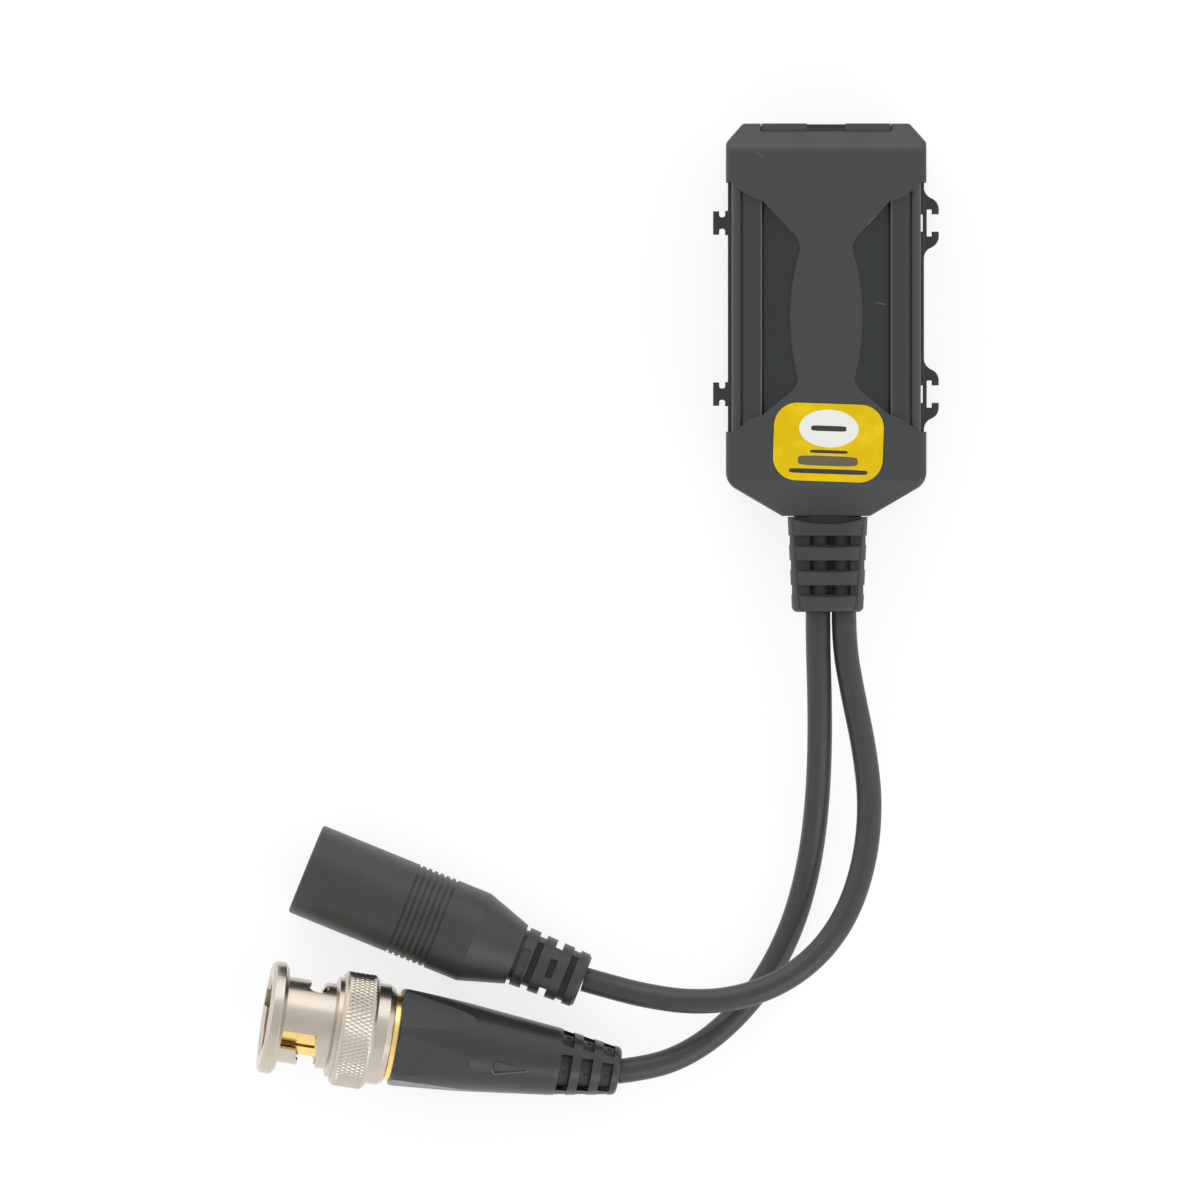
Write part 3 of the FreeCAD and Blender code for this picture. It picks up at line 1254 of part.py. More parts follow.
def turnSketch(sketch, turn, lift=0):
    """Turns a sketch's plane about the body's X, and lifts it along its new normal."""
    angle = math.radians(numberOf(turn))
    height = numberOf(lift)
    offset = vector(0, -height * math.sin(angle), height * math.cos(angle))
    if sketch.AttachmentSupport[0][0].Role == "XZ_Plane":
        offset = vector(0, 0, 0)
    sketch.AttachmentOffset = FreeCAD.Placement(
        offset, FreeCAD.Rotation(vector(1, 0, 0), numberOf(turn)))
    sketch.setExpression("AttachmentOffset.Rotation.Angle", turn.text)
    if isinstance(lift, Size):
        sketch.setExpression("AttachmentOffset.Base.y", "0 - %s * sin(%s * 1deg)" % (lift.text, turn.text))
        sketch.setExpression("AttachmentOffset.Base.z", "%s * cos(%s * 1deg)" % (lift.text, turn.text))


def crimpFerrule():
    body = newBody("crimp_ferrule")
    turned(body, "Tube", [
        (bootSmallFrom + fitGap, ferruleRadius - ferruleWall),
        (bootSmallFrom + ferruleLength, ferruleRadius - ferruleWall),
        (bootSmallFrom + ferruleLength, ferruleRadius), (bootSmallFrom + fitGap, ferruleRadius)])
    seat(body)


def plugCore():
    """The turned body: crimp stem, barrel, shoulder behind the nut and ring groove."""
    body = newBody("plug_body")
    stem = ferruleRadius - ferruleWall - fitGap
    inner = insulatorRadius + fitGap
    shoulderAt = bootLength
    journal = bodyRadius
    turned(body, "Barrel", [
        (bootSmallFrom + fitGap * 4, stemBore), (bootSmallFrom + fitGap * 4, stem),
        (bodyBack, stem), (bodyBack, bodyRadius), (shoulderAt, bodyRadius),
        (shoulderAt, shoulderRadius), (shoulderAt + shoulderThick, shoulderRadius),
        (shoulderAt + shoulderThick, journal), (ringAt - fitGap, journal),
        (ringAt - fitGap, ringGroove), (ringAt + ringThick + fitGap, ringGroove),
        (ringAt + ringThick + fitGap, journal), (bodyFront, journal),
        (bodyFront, spigotRadius + fitGap), (bodyFront - spigotLength - fitGap, spigotRadius + fitGap),
        (bodyFront - spigotLength - fitGap, inner), (insulatorBack - fitGap, inner),
        (insulatorBack - fitGap, stemBore)])
    seat(body)


def plugInsulator():
    body = newBody("plug_insulator")
    bore = pinSeat + fitGap
    turned(body, "Rod", [
        (insulatorBack, bore), (insulatorFront, bore), (insulatorFront, insulatorRadius),
        (insulatorBack, insulatorRadius)])
    seat(body)


def outerContact():
    body = newBody("outer_contact")
    flangeFront = bodyFront + contactFlangeThick
    seatFront = flangeFront + gasketThick + fitGap
    inner = insulatorRadius + fitGap
    lip = contactWall / 3
    turned(body, "Barrel", [
        (bodyFront - spigotLength, inner), (flangeFront, inner),
        (flangeFront, contactRadius - contactWall), (contactFront, contactRadius - contactWall),
        (contactFront, contactRadius - lip), (contactFront - lip, contactRadius),
        (seatFront, contactRadius), (seatFront, gasketSeat), (flangeFront, gasketSeat),
        (flangeFront, contactFlange), (bodyFront, contactFlange),
        (bodyFront, spigotRadius), (bodyFront - spigotLength, spigotRadius)])
    sketch = newSketch(body, "SlotPlan", "XY_Plane")
    rectangle(sketch, contactFront - contactSlotLong, contactFront + wall,
              -contactSlot / 2, contactSlot / 2)
    turnSketch(sketch, contactSlotTurn)
    slot = pocket(body, "Slot", sketch, contactRadius * 2, reverse=True)
    polar(body, "Slots", [slot], 4)
    seat(body)


def centreContact():
    body = newBody("centre_contact")
    turned(body, "Pin", [
        (pinBack, 0), (pinBack, pinSeat), (insulatorFront, pinSeat),
        (insulatorFront, pinRadius), (pinTip - pinPoint, pinRadius),
        (pinTip, pinTipRadius), (pinTip, 0)])
    seat(body)


def plugGasket():
    body = newBody("plug_gasket")
    low = bodyFront + contactFlangeThick
    high = low + gasketThick
    inner = gasketSeat + fitGap
    turned(body, "Ring", [(low, inner), (high, inner), (high, gasketRadius), (low, gasketRadius)])
    seat(body)


def retainingRing():
    """A split ring that snaps into the body's groove and stops the spring."""
    body = newBody("retaining_ring")
    inner = ringGroove + fitGap
    turned(body, "Ring", [
        (ringAt, inner), (ringAt + ringThick, inner), (ringAt + ringThick, ringRadius),
        (ringAt, ringRadius)])
    sketch = newSketch(body, "SplitPlan", "XY_Plane")
    rectangle(sketch, ringAt - wall, ringAt + ringThick + wall, -ringSplit / 2, ringSplit / 2)
    pocket(body, "Split", sketch, ringRadius * 2, reverse=True)
    seat(body)


def slipWasher():
    body = newBody("slip_washer")
    low = nutBack + nutLip
    inner = bodyRadius + fitGap
    turned(body, "Ring", [
        (low, inner), (low + slipThick, inner), (low + slipThick, slipRadius), (low, slipRadius)])
    seat(body)


def waveSpring():
    """A flat ring with three waves, between the slip washer and the retaining ring."""
    item = doc.addObject("Part::Feature", "wave_spring")
    low = numberOf(nutBack + nutLip + slipThick)
    room = ringAt.number - low
    middle = low + room / 2
    height = room / 2 - springThick.number / 2
    inner = bodyRadius.number + fitGap.number * 2
    outer = slipRadius.number
    steps = springWaves * 6
    rings = []
    for radius in (inner, outer):
        for side in (-1, 1):
            points = []
            for step in range(steps):
                angle = 2 * math.pi * step / steps
                wave = height * math.cos(springWaves * angle)
                points.append(vector(middle + wave + side * springThick.number / 2,
                                     radius * math.cos(angle), radius * math.sin(angle)))
            curve = Part.BSplineCurve()
            curve.interpolate(points, PeriodicFlag=True)
            rings.append(Part.Wire(curve.toShape()))
    innerBack, innerFront, outerBack, outerFront = rings
    faces = []
    for first, last in ((innerBack, innerFront), (innerFront, outerFront),
                        (outerFront, outerBack), (outerBack, innerBack)):
        faces.append(Part.makeRuledSurface(first.Edges[0], last.Edges[0]))
    shell = Part.makeShell(faces)
    shell.sewShape()
    solid = Part.makeSolid(Part.Shell(shell.Faces))
    if solid.Volume < 0:
        solid.reverse()
    item.Shape = solid
    place(item, plugAcross, plugAlong, plugHeight, plugTurn, plugTilt)
    finish(item, "wave_spring")


def bayonetNut():
    body = newBody("bayonet_nut")
    gripBack = nutBack + nutHubLong
    gripFront = gripBack + nutGripLong
    rimFront = gripFront + nutRimLong
    flangeBack = nutFront - nutFlangeLong
    edge = nutGripChamfer
    turned(body, "Turning", [
        (nutBack, bodyRadius + fitGap), (nutBack, nutHubBack), (nutBack + edge * 2, nutHub),
        (gripBack, nutHub), (gripBack, nutGrip - edge), (gripBack + edge, nutGrip),
        (gripFront - edge, nutGrip), (gripFront, nutGrip - edge), (gripFront, nutRim),
        (rimFront - edge, nutRim), (rimFront, nutSleeve), (flangeBack, nutSleeve),
        (flangeBack, nutFlange - nutFlangeStep), (flangeBack + nutFlangeStep, nutFlange),
        (nutFront - edge, nutFlange), (nutFront, nutFlange - edge), (nutFront, nutBore + edge),
        (nutFront - edge, nutBore), (nutCavityEnd, nutBore), (nutCavityEnd, nutCavity),
        (nutBack + nutLip, nutCavity), (nutBack + nutLip, bodyRadius + fitGap)])

    # Two spiral bayonet slots, each with a straight way in and a round rest hole at its end
    outer = nutSleeve + fitGap
    inner = nutBore - fitGap * 6
    start = nutFront - camFrontAt - camWide
    sketch = newSketch(body, "CamSection", "XZ_Plane")
    rectangle(sketch, start, start + camWide, inner, outer)
    turnSketch(sketch, camTurn)
    spiral = body.newObject("PartDesign::SubtractiveHelix", "CamSpiral")
    spiral.Profile = sketch
    spiral.ReferenceAxis = (originPart(body, "X_Axis"), [""])
    spiral.Mode = "pitch-height-angle"
    spiral.Pitch = camPitch.number
    spiral.setExpression("Pitch", camPitch.text)
    reach = camPitch * (camEnd + camTurn) / 360
    spiral.Height = reach.number
    spiral.setExpression("Height", reach.text)
    spiral.Reversed = True
    doc.recompute()
    sketch = newSketch(body, "RestPlan", "XY_Plane")
    circle(sketch, nutFront - camDetentAt, 0, camDetent)
    turnSketch(sketch, camRest, nutBore / 2)
    rest = pocket(body, "CamRest", sketch, nutFlange, reverse=True)
    sketch = newSketch(body, "EntryPlan", "XY_Plane")
    rectangle(sketch, start + fitGap, nutFront + wall, -camWide / 2, camWide / 2)
    turnSketch(sketch, camTurn, inner)
    entry = pocket(body, "CamEntry", sketch, outer - inner, reverse=True)
    polar(body, "CamPair", [spiral, rest, entry], 2)
    seat(body)


# Power socket

def seatPower(body):
    place(body, powerAcross, powerAlong, powerRadius, powerTurn)
    finish(body)


def powerHousing():
    body = newBody("power_housing")
    edge = powerEdge
    bore = insertRadius + fitGap
    neckFrom = powerTaperFrom - powerNeckLong
    turned(body, "Cone", [
        (0, 0), (0, powerBootEnd - edge), (edge, powerBootEnd), (neckFrom, powerBootRadius),
        (neckFrom, powerNeck), (powerTaperFrom, powerNeck),
        (powerTaperFrom, powerShoulder), (powerTaperTo, powerRadius),
        (powerLength - edge, powerRadius, edge, 1), (powerLength, powerRadius - edge),
        (powerLength, bore), (insertBack - fitGap, bore),
        (insertBack - fitGap, jackPinSeat + fitGap), (jackPinBack - fitGap, jackPinSeat + fitGap),
        (jackPinBack - fitGap, 0)])

    grooveFace = powerRadius - gripDeep
    sketch = newSketch(body, "GripSection", "XY_Plane")
    rectangle(sketch, gripFrom, gripFrom + gripGroove, grooveFace, powerRadius + wall)
    groove = body.newObject("PartDesign::Groove", "GripGroove")
    groove.Profile = sketch
    groove.ReferenceAxis = (sketch, ["H_Axis"])
    groove.Angle = 360
    doc.recompute()
    along(body, "GripGrooves", [groove], "X_Axis", gripPitch, gripCount)

    # Slots of the boot, front and back by turns with the sides
    for index, role in enumerate(("XY_Plane", "XZ_Plane", "XY_Plane")):
        low = powerSlotFirst + powerSlotPitch * index
        for side in (1, -1):
            name = "BootSlot%d%s" % (index, "Near" if side > 0 else "Far")
            sketch = newSketch(body, name, role, powerSlotCore * side)
            rectangle(sketch, low, low + powerSlotWide, -powerSlotHalf, powerSlotHalf)
            pocket(body, name + "Cut", sketch, powerRadius, reverse=side > 0)

    # A window in the web between the middle slots, front and back
    low = powerSlotFirst + powerSlotPitch
    for side in (1, -1):
        name = "WebWindow%s" % ("Near" if side > 0 else "Far")
        sketch = newSketch(body, name, "XY_Plane", powerWebFloor * side)
        rectangle(sketch, low, low + powerSlotWide, -powerWebHalf, powerWebHalf)
        pocket(body, name + "Cut", sketch, powerRadius, reverse=side > 0)

    # A ring groove runs on from each of the outer slots
    sketch = newSketch(body, "RingSection", "XY_Plane")
    ringEnd = powerSlotFirst + powerSlotWide
    rectangle(sketch, powerSlotFirst, ringEnd, powerRingFloor, powerRadius)
    ring = body.newObject("PartDesign::Groove", "RingGroove")
    ring.Profile = sketch
    ring.ReferenceAxis = (sketch, ["H_Axis"])
    ring.Angle = 360
    doc.recompute()
    along(body, "RingGrooves", [ring], "X_Axis", powerSlotPitch * 2, 2)

    # Two shallow closed slots next to the socket
    sketch = newSketch(body, "PlateSection", "XZ_Plane")
    rectangle(sketch, plateFrom, plateFrom + plateLong, powerBootRadius - plateDeep, powerRadius)
    turnSketch(sketch, plateTurn)
    plate = body.newObject("PartDesign::Groove", "PlateCut")
    plate.Profile = sketch
    plate.ReferenceAxis = (sketch, ["H_Axis"])
    plate.Midplane = True
    plate.Angle = plateSpan.number
    plate.setExpression("Angle", plateSpan.text)
    doc.recompute()
    polar(body, "Plates", [plate], 2)
    seatPower(body)


def powerInsert():
    body = newBody("power_insert")
    front = powerLength - insertInset
    floor = front - jackDeep
    edge = powerEdge
    hole = jackPinSeat + fitGap
    turned(body, "Rod", [
        (insertBack, hole), (insertBack, insertRadius), (front, insertRadius),
        (front, jackBore + edge), (front - edge, jackBore), (floor, jackBore), (floor, hole)])
    half = jackSpringWide / 2 + fitGap
    sketch = newSketch(body, "SpringSeatPlan", "XY_Plane")
    rectangle(sketch, insertBack - wall, front - wall, -half, half)
    pocket(body, "SpringSeatCut", sketch, jackBore + jackSpringDeep, reverse=False)
    seatPower(body)


def powerSpring():
    """The strip contact on the underside of the bore, bowed towards the plug."""
    body = newBody("power_spring_contact")
    front = powerLength - insertInset
    low = -(jackBore + jackSpringDeep) + fitGap
    bowAt = front - jackDeep / 2
    bow = -jackBore + fitGap
    thick = jackSpringThick
    sketch = newSketch(body, "StripProfile", "XZ_Plane")
    tip = front - wall - fitGap * 2
    floor = front - jackDeep
    outline(sketch, [
        (insertBack + fitGap, low), (floor, low), (bowAt, bow - thick), (tip, low), (tip, low + thick),
        (bowAt, bow), (floor, low + thick), (insertBack + fitGap, low + thick)])
    pad(body, "Strip", sketch, jackSpringWide, both=True)
    seatPower(body)


def powerPin():
    body = newBody("power_centre_pin")
    front = powerLength - insertInset
    floor = front - jackDeep
    tip = front - jackPinInset
    point = powerEdge
    turned(body, "Pin", [
        (jackPinBack, 0), (jackPinBack, jackPinSeat), (floor, jackPinSeat),
        (floor, jackPinRadius), (tip - point, jackPinRadius),
        (tip, jackPinRadius - point), (tip, 0)])
    seatPower(body)


frontCover()
rearCover()
label()
circuitBoard()
socketHousing()
contactCarrier()
contactWires()
transformer()
choke()
surgeArresters()
capacitor()
strainRelief()
cables()
innerLeads()
plugBoot()
crimpFerrule()
plugCore()
plugInsulator()
outerContact()
centreContact()
plugGasket()
retainingRing()
slipWasher()
waveSpring()
bayonetNut()
powerHousing()
powerInsert()
powerSpring()
powerPin()
doc.recompute()

# Every object is sound before anything is written
for item in doc.Objects:
    if "Invalid" in item.State or "Error" in item.State:
        raise RuntimeError("%s has not been built: %s" % (item.Label, item.State))
for item in subParts:
    if item.Shape.isNull() or not item.Shape.isValid():
        raise RuntimeError("%s has no sound shape" % item.Label)

os.makedirs("parts", exist_ok=True)
for item in subParts:
    shape = item.Shape
    shape.exportStep(os.path.join("parts", item.Label + ".step"))
    print("%-22s %3d solids %9.2f mm3" % (item.Label, len(shape.Solids), shape.Volume))
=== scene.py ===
import bpy
import bmesh
import math
from mathutils import Matrix, Vector


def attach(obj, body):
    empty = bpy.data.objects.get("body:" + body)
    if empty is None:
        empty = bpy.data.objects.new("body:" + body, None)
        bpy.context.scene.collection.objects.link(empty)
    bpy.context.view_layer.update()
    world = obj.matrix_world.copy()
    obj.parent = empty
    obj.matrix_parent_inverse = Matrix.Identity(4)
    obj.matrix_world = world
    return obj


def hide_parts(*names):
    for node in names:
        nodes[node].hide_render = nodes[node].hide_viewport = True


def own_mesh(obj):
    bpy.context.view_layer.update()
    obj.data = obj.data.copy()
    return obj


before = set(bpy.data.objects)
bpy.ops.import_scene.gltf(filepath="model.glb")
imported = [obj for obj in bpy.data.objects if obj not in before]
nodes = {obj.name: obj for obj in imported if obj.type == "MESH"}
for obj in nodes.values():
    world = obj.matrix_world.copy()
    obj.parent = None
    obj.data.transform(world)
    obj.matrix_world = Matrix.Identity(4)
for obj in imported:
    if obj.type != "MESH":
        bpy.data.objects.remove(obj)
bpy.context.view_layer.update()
mm = 0.001


# camera, straight down from far away
camera = {
    "centre": (-28.25, -35.0),   # what lies at the middle of the picture, mm
    "width": 150.0,              # width of the picture where it is focused, mm
    "height": 6000.0,            # above that place
    "focus": 9.5,                # half the case's height
    "sensor": 36.0,
    "clip": (0.1, 20.0),         # nearest and farthest that it sees, metres
}


def addCamera():
    data = bpy.data.cameras.new("photoCamera")
    item = bpy.data.objects.new("photoCamera", data)
    bpy.context.scene.collection.objects.link(item)
    x, y = camera["centre"]
    item.location = (x * mm, y * mm, (camera["height"] + camera["focus"]) * mm)
    data.sensor_width = camera["sensor"]
    data.lens = camera["sensor"] * camera["height"] / camera["width"]
    data.clip_start, data.clip_end = camera["clip"]
    bpy.context.scene.camera = item


addCamera()
print("camera placed")


# free cables, along the same points as the solids
videoCord = {
    "radius": 1.55,
    "points": [
        (-1.0, -36.5, 9.5), (-1.0, -40.5, 9.5), (-0.8, -46.5, 8.8), (-0.75, -53.5, 7.2),
        (-1.1, -61.0, 5.2), (-2.1, -68.5, 3.4), (-4.0, -75.5, 2.2), (-7.1, -81.9, 1.8),
        (-10.6, -86.4, 2.0), (-14.4, -89.9, 2.8), (-18.3, -92.25, 3.7), (-22.2, -93.5, 4.4),
        (-26.05, -93.98, 4.8),
    ],
    "length": 70.7,
}

powerCord = {
    "radius": 1.55,
    "points": [
        (2.25, -36.5, 9.5), (2.25, -40.5, 9.5), (3.3, -46.5, 8.9), (4.8, -53.5, 7.7),
        (5.6, -60.5, 6.8), (4.95, -67.4, 6.6), (2.95, -73.8, 7.1), (-0.5, -79.0, 7.9),
        (-5.4, -82.8, 8.3), (-11.2, -84.9, 8.3), (-16.9, -85.3, 7.6), (-22.0, -84.6, 6.6),
        (-26.2, -83.6, 5.95), (-30.28, -82.42, 5.85),
    ],
    "length": 76.1,
}

cordSteps = {"around": 7, "along": 14}   # how finely both are divided


def addCord(name, settings):
    curve = bpy.data.curves.new(name, "CURVE")
    curve.dimensions = "3D"
    curve.bevel_depth = 1.0   # times the points' radius
    curve.bevel_resolution = cordSteps["around"]
    curve.use_fill_caps = True
    curve.resolution_u = cordSteps["along"]
    curve.render_resolution_u = cordSteps["along"]
    spline = curve.splines.new("NURBS")
    spline.points.add(len(settings["points"]) - 1)
    for point, place in zip(spline.points, settings["points"]):
        point.co = (place[0] * mm, place[1] * mm, place[2] * mm, 1.0)
        point.radius = settings["radius"] * mm
    spline.order_u = 3
    spline.use_endpoint_u = True
    spline.resolution_u = cordSteps["along"]
    item = bpy.data.objects.new(name, curve)
    bpy.context.scene.collection.objects.link(item)
    return item


videoCable = addCord("videoCable", videoCord)
powerCable = addCord("powerCable", powerCord)
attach(videoCable, "case")
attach(powerCable, "case")
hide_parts("video_cable")
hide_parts("power_cable")
print("cables laid")


# where the two connectors lie: the cable's end, mm, and their directions, degrees
plug = {"at": (-25.95, -93.95, 4.8), "turn": 171.1, "tilt": 4.4}
power = {"at": (-30.44, -82.7, 5.85), "turn": 157.8, "tilt": 0.0}


def frameOf(piece):
    # the matrix of a connector: its own X runs from the cable to its mouth
    return (Matrix.Translation(Vector(piece["at"]) * mm)
            @ Matrix.Rotation(math.radians(piece["turn"]), 4, "Z")
            @ Matrix.Rotation(-math.radians(piece["tilt"]), 4, "Y"))


def placed(at, turn):
    # the same for a flat mark, from its middle and its direction
    return (Matrix.Translation((at[0] * mm, at[1] * mm, 0))
            @ Matrix.Rotation(math.radians(turn), 4, "Z"))


# material helpers
class Wiring:
    # a node tree, with short ways to add and join what it needs

    def __init__(self, tree):
        self.tree = tree

    def add(self, kind, **values):
        node = self.tree.nodes.new("ShaderNode" + kind)
        for key, value in values.items():
            setattr(node, key, value)
        return node

    def join(self, source, target):
        self.tree.links.new(source, target)

    def math(self, operation, *values):
        node = self.add("Math", operation=operation)
        for socket, value in zip(node.inputs, values):
            if isinstance(value, (int, float)):
                socket.default_value = value
            else:
                self.join(value, socket)
        return node.outputs["Value"]

    def ramp(self, value, stops):
        # greys at places from 0 to 1
        node = self.add("ValToRGB")
        ramp = node.color_ramp
        while len(ramp.elements) < len(stops):
            ramp.elements.new(0.5)   # each gets its place below
        for element, (position, level) in zip(ramp.elements, stops):
            element.position = position
            element.color = (level, level, level, 1.0)
        self.join(value, node.inputs["Fac"])
        return node.outputs["Color"]

    def axes(self, source):
        split = self.add("SeparateXYZ")
        self.join(source, split.inputs["Vector"])
        return split.outputs["X"], split.outputs["Y"], split.outputs["Z"]

    # masks: 1 where something holds, 0 elsewhere
    def below(self, value, limit):
        return self.math("LESS_THAN", value, limit)

    def above(self, value, limit):
        return self.math("GREATER_THAN", value, limit)

    def near(self, value, middle, reach):
        return self.below(self.math("ABSOLUTE", self.math("SUBTRACT", value, middle)), reach)

    def every(self, *masks):
        joined = masks[0]
        for mask in masks[1:]:
            joined = self.math("MULTIPLY", joined, mask)
        return joined


class Shader(Wiring):
    # one material

    def __init__(self, name, colour, roughness, metallic=0.0, specular=0.5):
        self.material = bpy.data.materials.new(name)
        self.material.use_nodes = True
        super().__init__(self.material.node_tree)
        self.shader = self.tree.nodes["Principled BSDF"]
        self.shader.inputs["Base Color"].default_value = (*colour, 1.0)
        self.shader.inputs["Roughness"].default_value = roughness
        self.shader.inputs["Metallic"].default_value = metallic
        self.shader.inputs["Specular IOR Level"].default_value = specular
        self.place = self.add("TexCoord").outputs["Object"]

    def at(self, turned=(0, 0, 0), scale=(1, 1, 1), offset=(0, 0, 0), source=None):
        node = self.add("Mapping")
        node.inputs["Location"].default_value = offset
        node.inputs["Rotation"].default_value = turned
        node.inputs["Scale"].default_value = scale
        self.join(source or self.place, node.inputs["Vector"])
        return node.outputs["Vector"]

    def seenFrom(self, place):
        # object coordinates in the axes of a place, which its matrix gives
        inverse = place.inverted()
        return self.at(inverse.to_euler()[:], offset=inverse.to_translation()[:])

    def noise(self, size, detail=3.0, rough=0.55, where=None):
        # blobs about that many millimetres across
        node = self.add("TexNoise")
        node.inputs["Scale"].default_value = 1.0 / (size * mm)
        node.inputs["Detail"].default_value = detail
        node.inputs["Roughness"].default_value = rough
        self.join(where or self.place, node.inputs["Vector"])
        return node.outputs["Fac"]

    def cells(self, size):
        node = self.add("TexVoronoi")
        node.inputs["Scale"].default_value = 1.0 / (size * mm)
        self.join(self.place, node.inputs["Vector"])
        return node.outputs["Distance"]

    def blend(self, share, value, name="Base Color"):
        # mixes a colour or a number into a socket, by a share from 0 to 1
        isColour = isinstance(value, tuple)
        target = self.shader.inputs[name]
        node = self.add("Mix", data_type="RGBA" if isColour else "FLOAT")
        self.join(share, node.inputs["Factor"])
        if target.is_linked:
            self.join(target.links[0].from_socket, node.inputs["A"])
        else:
            node.inputs["A"].default_value = target.default_value
        node.inputs["B"].default_value = (*value, 1.0) if isColour else value
        self.join(node.outputs["Result"], target)

    def layer(self, settings, tone):
        # another tone, in the spots of a noise or of cells that the settings show
        if "cells" in settings:
            spots = self.cells(settings["cells"])
        elif "turn" in settings:
            where = self.at(settings["turn"], settings["stretch"])
            spots = self.noise(*settings["noise"], where=where)
        else:
            spots = self.noise(*settings["noise"])
        self.blend(self.ramp(spots, settings["shows"]), tone)

    def sheen(self, settings, roughness):
        # uneven gloss, from a little smoother to a little rougher
        node = self.add("MapRange")
        node.inputs["To Min"].default_value = roughness + settings["smoother"]
        node.inputs["To Max"].default_value = roughness + settings["rougher"]
        self.join(self.noise(*settings["sheen"]), node.inputs["Value"])
        self.join(node.outputs["Result"], self.shader.inputs["Roughness"])

    def grain(self, settings):
        for noise, depth, strength in settings["bumps"]:
            self.bump(self.noise(*noise), depth, strength)

    def bump(self, height, depth, strength=1.0):
        # that many millimetres deep; several follow on each other
        node = self.add("Bump")
        node.inputs["Strength"].default_value = strength
        node.inputs["Distance"].default_value = depth * mm
        self.join(height, node.inputs["Height"])
        normal = self.shader.inputs["Normal"]
        if normal.is_linked:
            self.join(normal.links[0].from_socket, node.inputs["Normal"])
        self.join(node.outputs["Normal"], normal)

    def softEdges(self, radius, samples=6):
        # rounds the look of sharp edges by that many millimetres
        node = self.add("Bevel")
        node.samples = samples
        node.inputs["Radius"].default_value = radius * mm
        self.join(node.outputs["Normal"], self.shader.inputs["Normal"])


def times(colour, factor):
    return tuple(min(c * factor, 1) for c in colour)


# In the finishes below a noise is given by the size of its blobs in mm, its detail and its
# roughness, and cells by their size. "shows" turns them into a share of another tone, which is
# the finish's colour "times" a number. Bumps have a noise, a depth in mm and a strength.

# hard moulded plastic
satin = {
    "edge": 0.2, "specular": 0.7,
    "cloud": {"noise": (9.0, 3.0), "shows": ((0.35, 0.0), (0.75, 0.35)), "times": 1.35},
    "mottle": {"noise": (0.7, 4.0, 0.7), "shows": ((0.45, 0.0), (0.8, 0.22)), "times": 0.6},
    "specks": {"cells": 1.7, "shows": ((0.03, 0.6), (0.055, 0.0)), "times": 3.2},
    "hairs": {"noise": (2.2, 5.0, 0.8), "turn": (0.3, 0.2, 0.7), "stretch": (1, 14, 1),
              "shows": ((0.70, 0.0), (0.735, 0.35), (0.77, 0.0)), "times": 2.2},
    "sheen": (3.5, 4.0), "smoother": -0.07, "rougher": 0.1,
    "bumps": [((0.16, 4.0, 0.7), 0.012, 1.0), ((3.0, 2.0), 0.01, 0.5)],
}


def mouldedPlastic(name, colour, roughness, layers=("cloud", "mottle", "specks", "hairs")):
    # fine spark-eroded grain, cloudy sheen, a few specks and hairlines
    p = satin
    s = Shader(name, colour, roughness, specular=p["specular"])
    s.softEdges(p["edge"])
    for layer in layers:
        s.layer(p[layer], times(colour, p[layer]["times"]))
    s.sheen(p, roughness)
    s.grain(p)
    return s


# soft moulded plastic of the cables and their ends
waxy = {
    "edge": 0.14,
    "cloud": {"noise": (4.0, 4.0), "shows": ((0.4, 0.0), (0.8, 0.4)), "times": 1.4},
    "dust": {"cells": 1.3, "shows": ((0.025, 0.5), (0.05, 0.0)), "times": 3.5},
    "sheen": (1.2, 3.0), "smoother": -0.08, "rougher": 0.1,
    "bumps": [((0.25, 3.0), 0.008, 1.0), ((2.2, 2.0), 0.03, 0.5)],
}


def softPvc(name, colour, roughness):
    # smoother than the case and a little waxy, with dust in the skin
    p = waxy
    s = Shader(name, colour, roughness)
    s.softEdges(p["edge"])
    for layer in ("cloud", "dust"):
        s.layer(p[layer], times(colour, p[layer]["times"]))
    s.sheen(p, roughness)
    s.grain(p)
    return s


# plated turned metal
plating = {
    "edge": 0.08,
    "stain": {"noise": (1.6, 5.0, 0.65), "shows": ((0.5, 0.0), (0.85, 0.45)), "times": 1.0},
    "pits": {"cells": 0.9, "shows": ((0.03, 0.5), (0.06, 0.0)), "times": 0.5},
    "sheen": (0.8, 4.0, 0.7), "smoother": -0.06, "rougher": 0.09,
    "ringSize": 0.05, "ringDepth": 0.0025, "ringStrength": 0.6,
    "bumps": [((0.2, 3.0), 0.002, 0.5)],
}


def platedMetal(name, colour, roughness, piece, stain=(0.45, 0.40, 0.33)):
    # fine tool rings about the connector's axis, faint stains and tiny pits
    p = plating
    s = Shader(name, colour, roughness, metallic=1.0)
    s.softEdges(p["edge"])
    for layer in ("stain", "pits"):
        s.layer(p[layer], times(stain, p[layer]["times"]))
    s.sheen(p, roughness)
    rings = s.add("TexNoise", noise_dimensions="1D")
    rings.inputs["Scale"].default_value = 1.0 / (p["ringSize"] * mm)
    s.join(s.axes(s.seenFrom(frameOf(piece)))[0], rings.inputs["W"])
    s.bump(rings.outputs["Fac"], p["ringDepth"], p["ringStrength"])
    s.grain(p)
    return s


# what mostly stays out of sight
hidden = {
    "spots": {"shows": ((0.4, 0.0), (0.8, 0.5)), "times": 0.7}, "detail": 4.0,
    "smoother": -0.08, "rougher": 0.1, "bumps": [((0.2, 3.0), 0.006, 1.0)],
}


def plain(name, colour, roughness, metallic=0.0, spotSize=1.5):
    p = dict(hidden, sheen=(spotSize,))
    spots = dict(p["spots"], noise=(spotSize, p["detail"]))
    s = Shader(name, colour, roughness, metallic=metallic)
    s.layer(spots, times(colour, spots["times"]))
    s.sheen(p, roughness)
    s.grain(p)
    return s


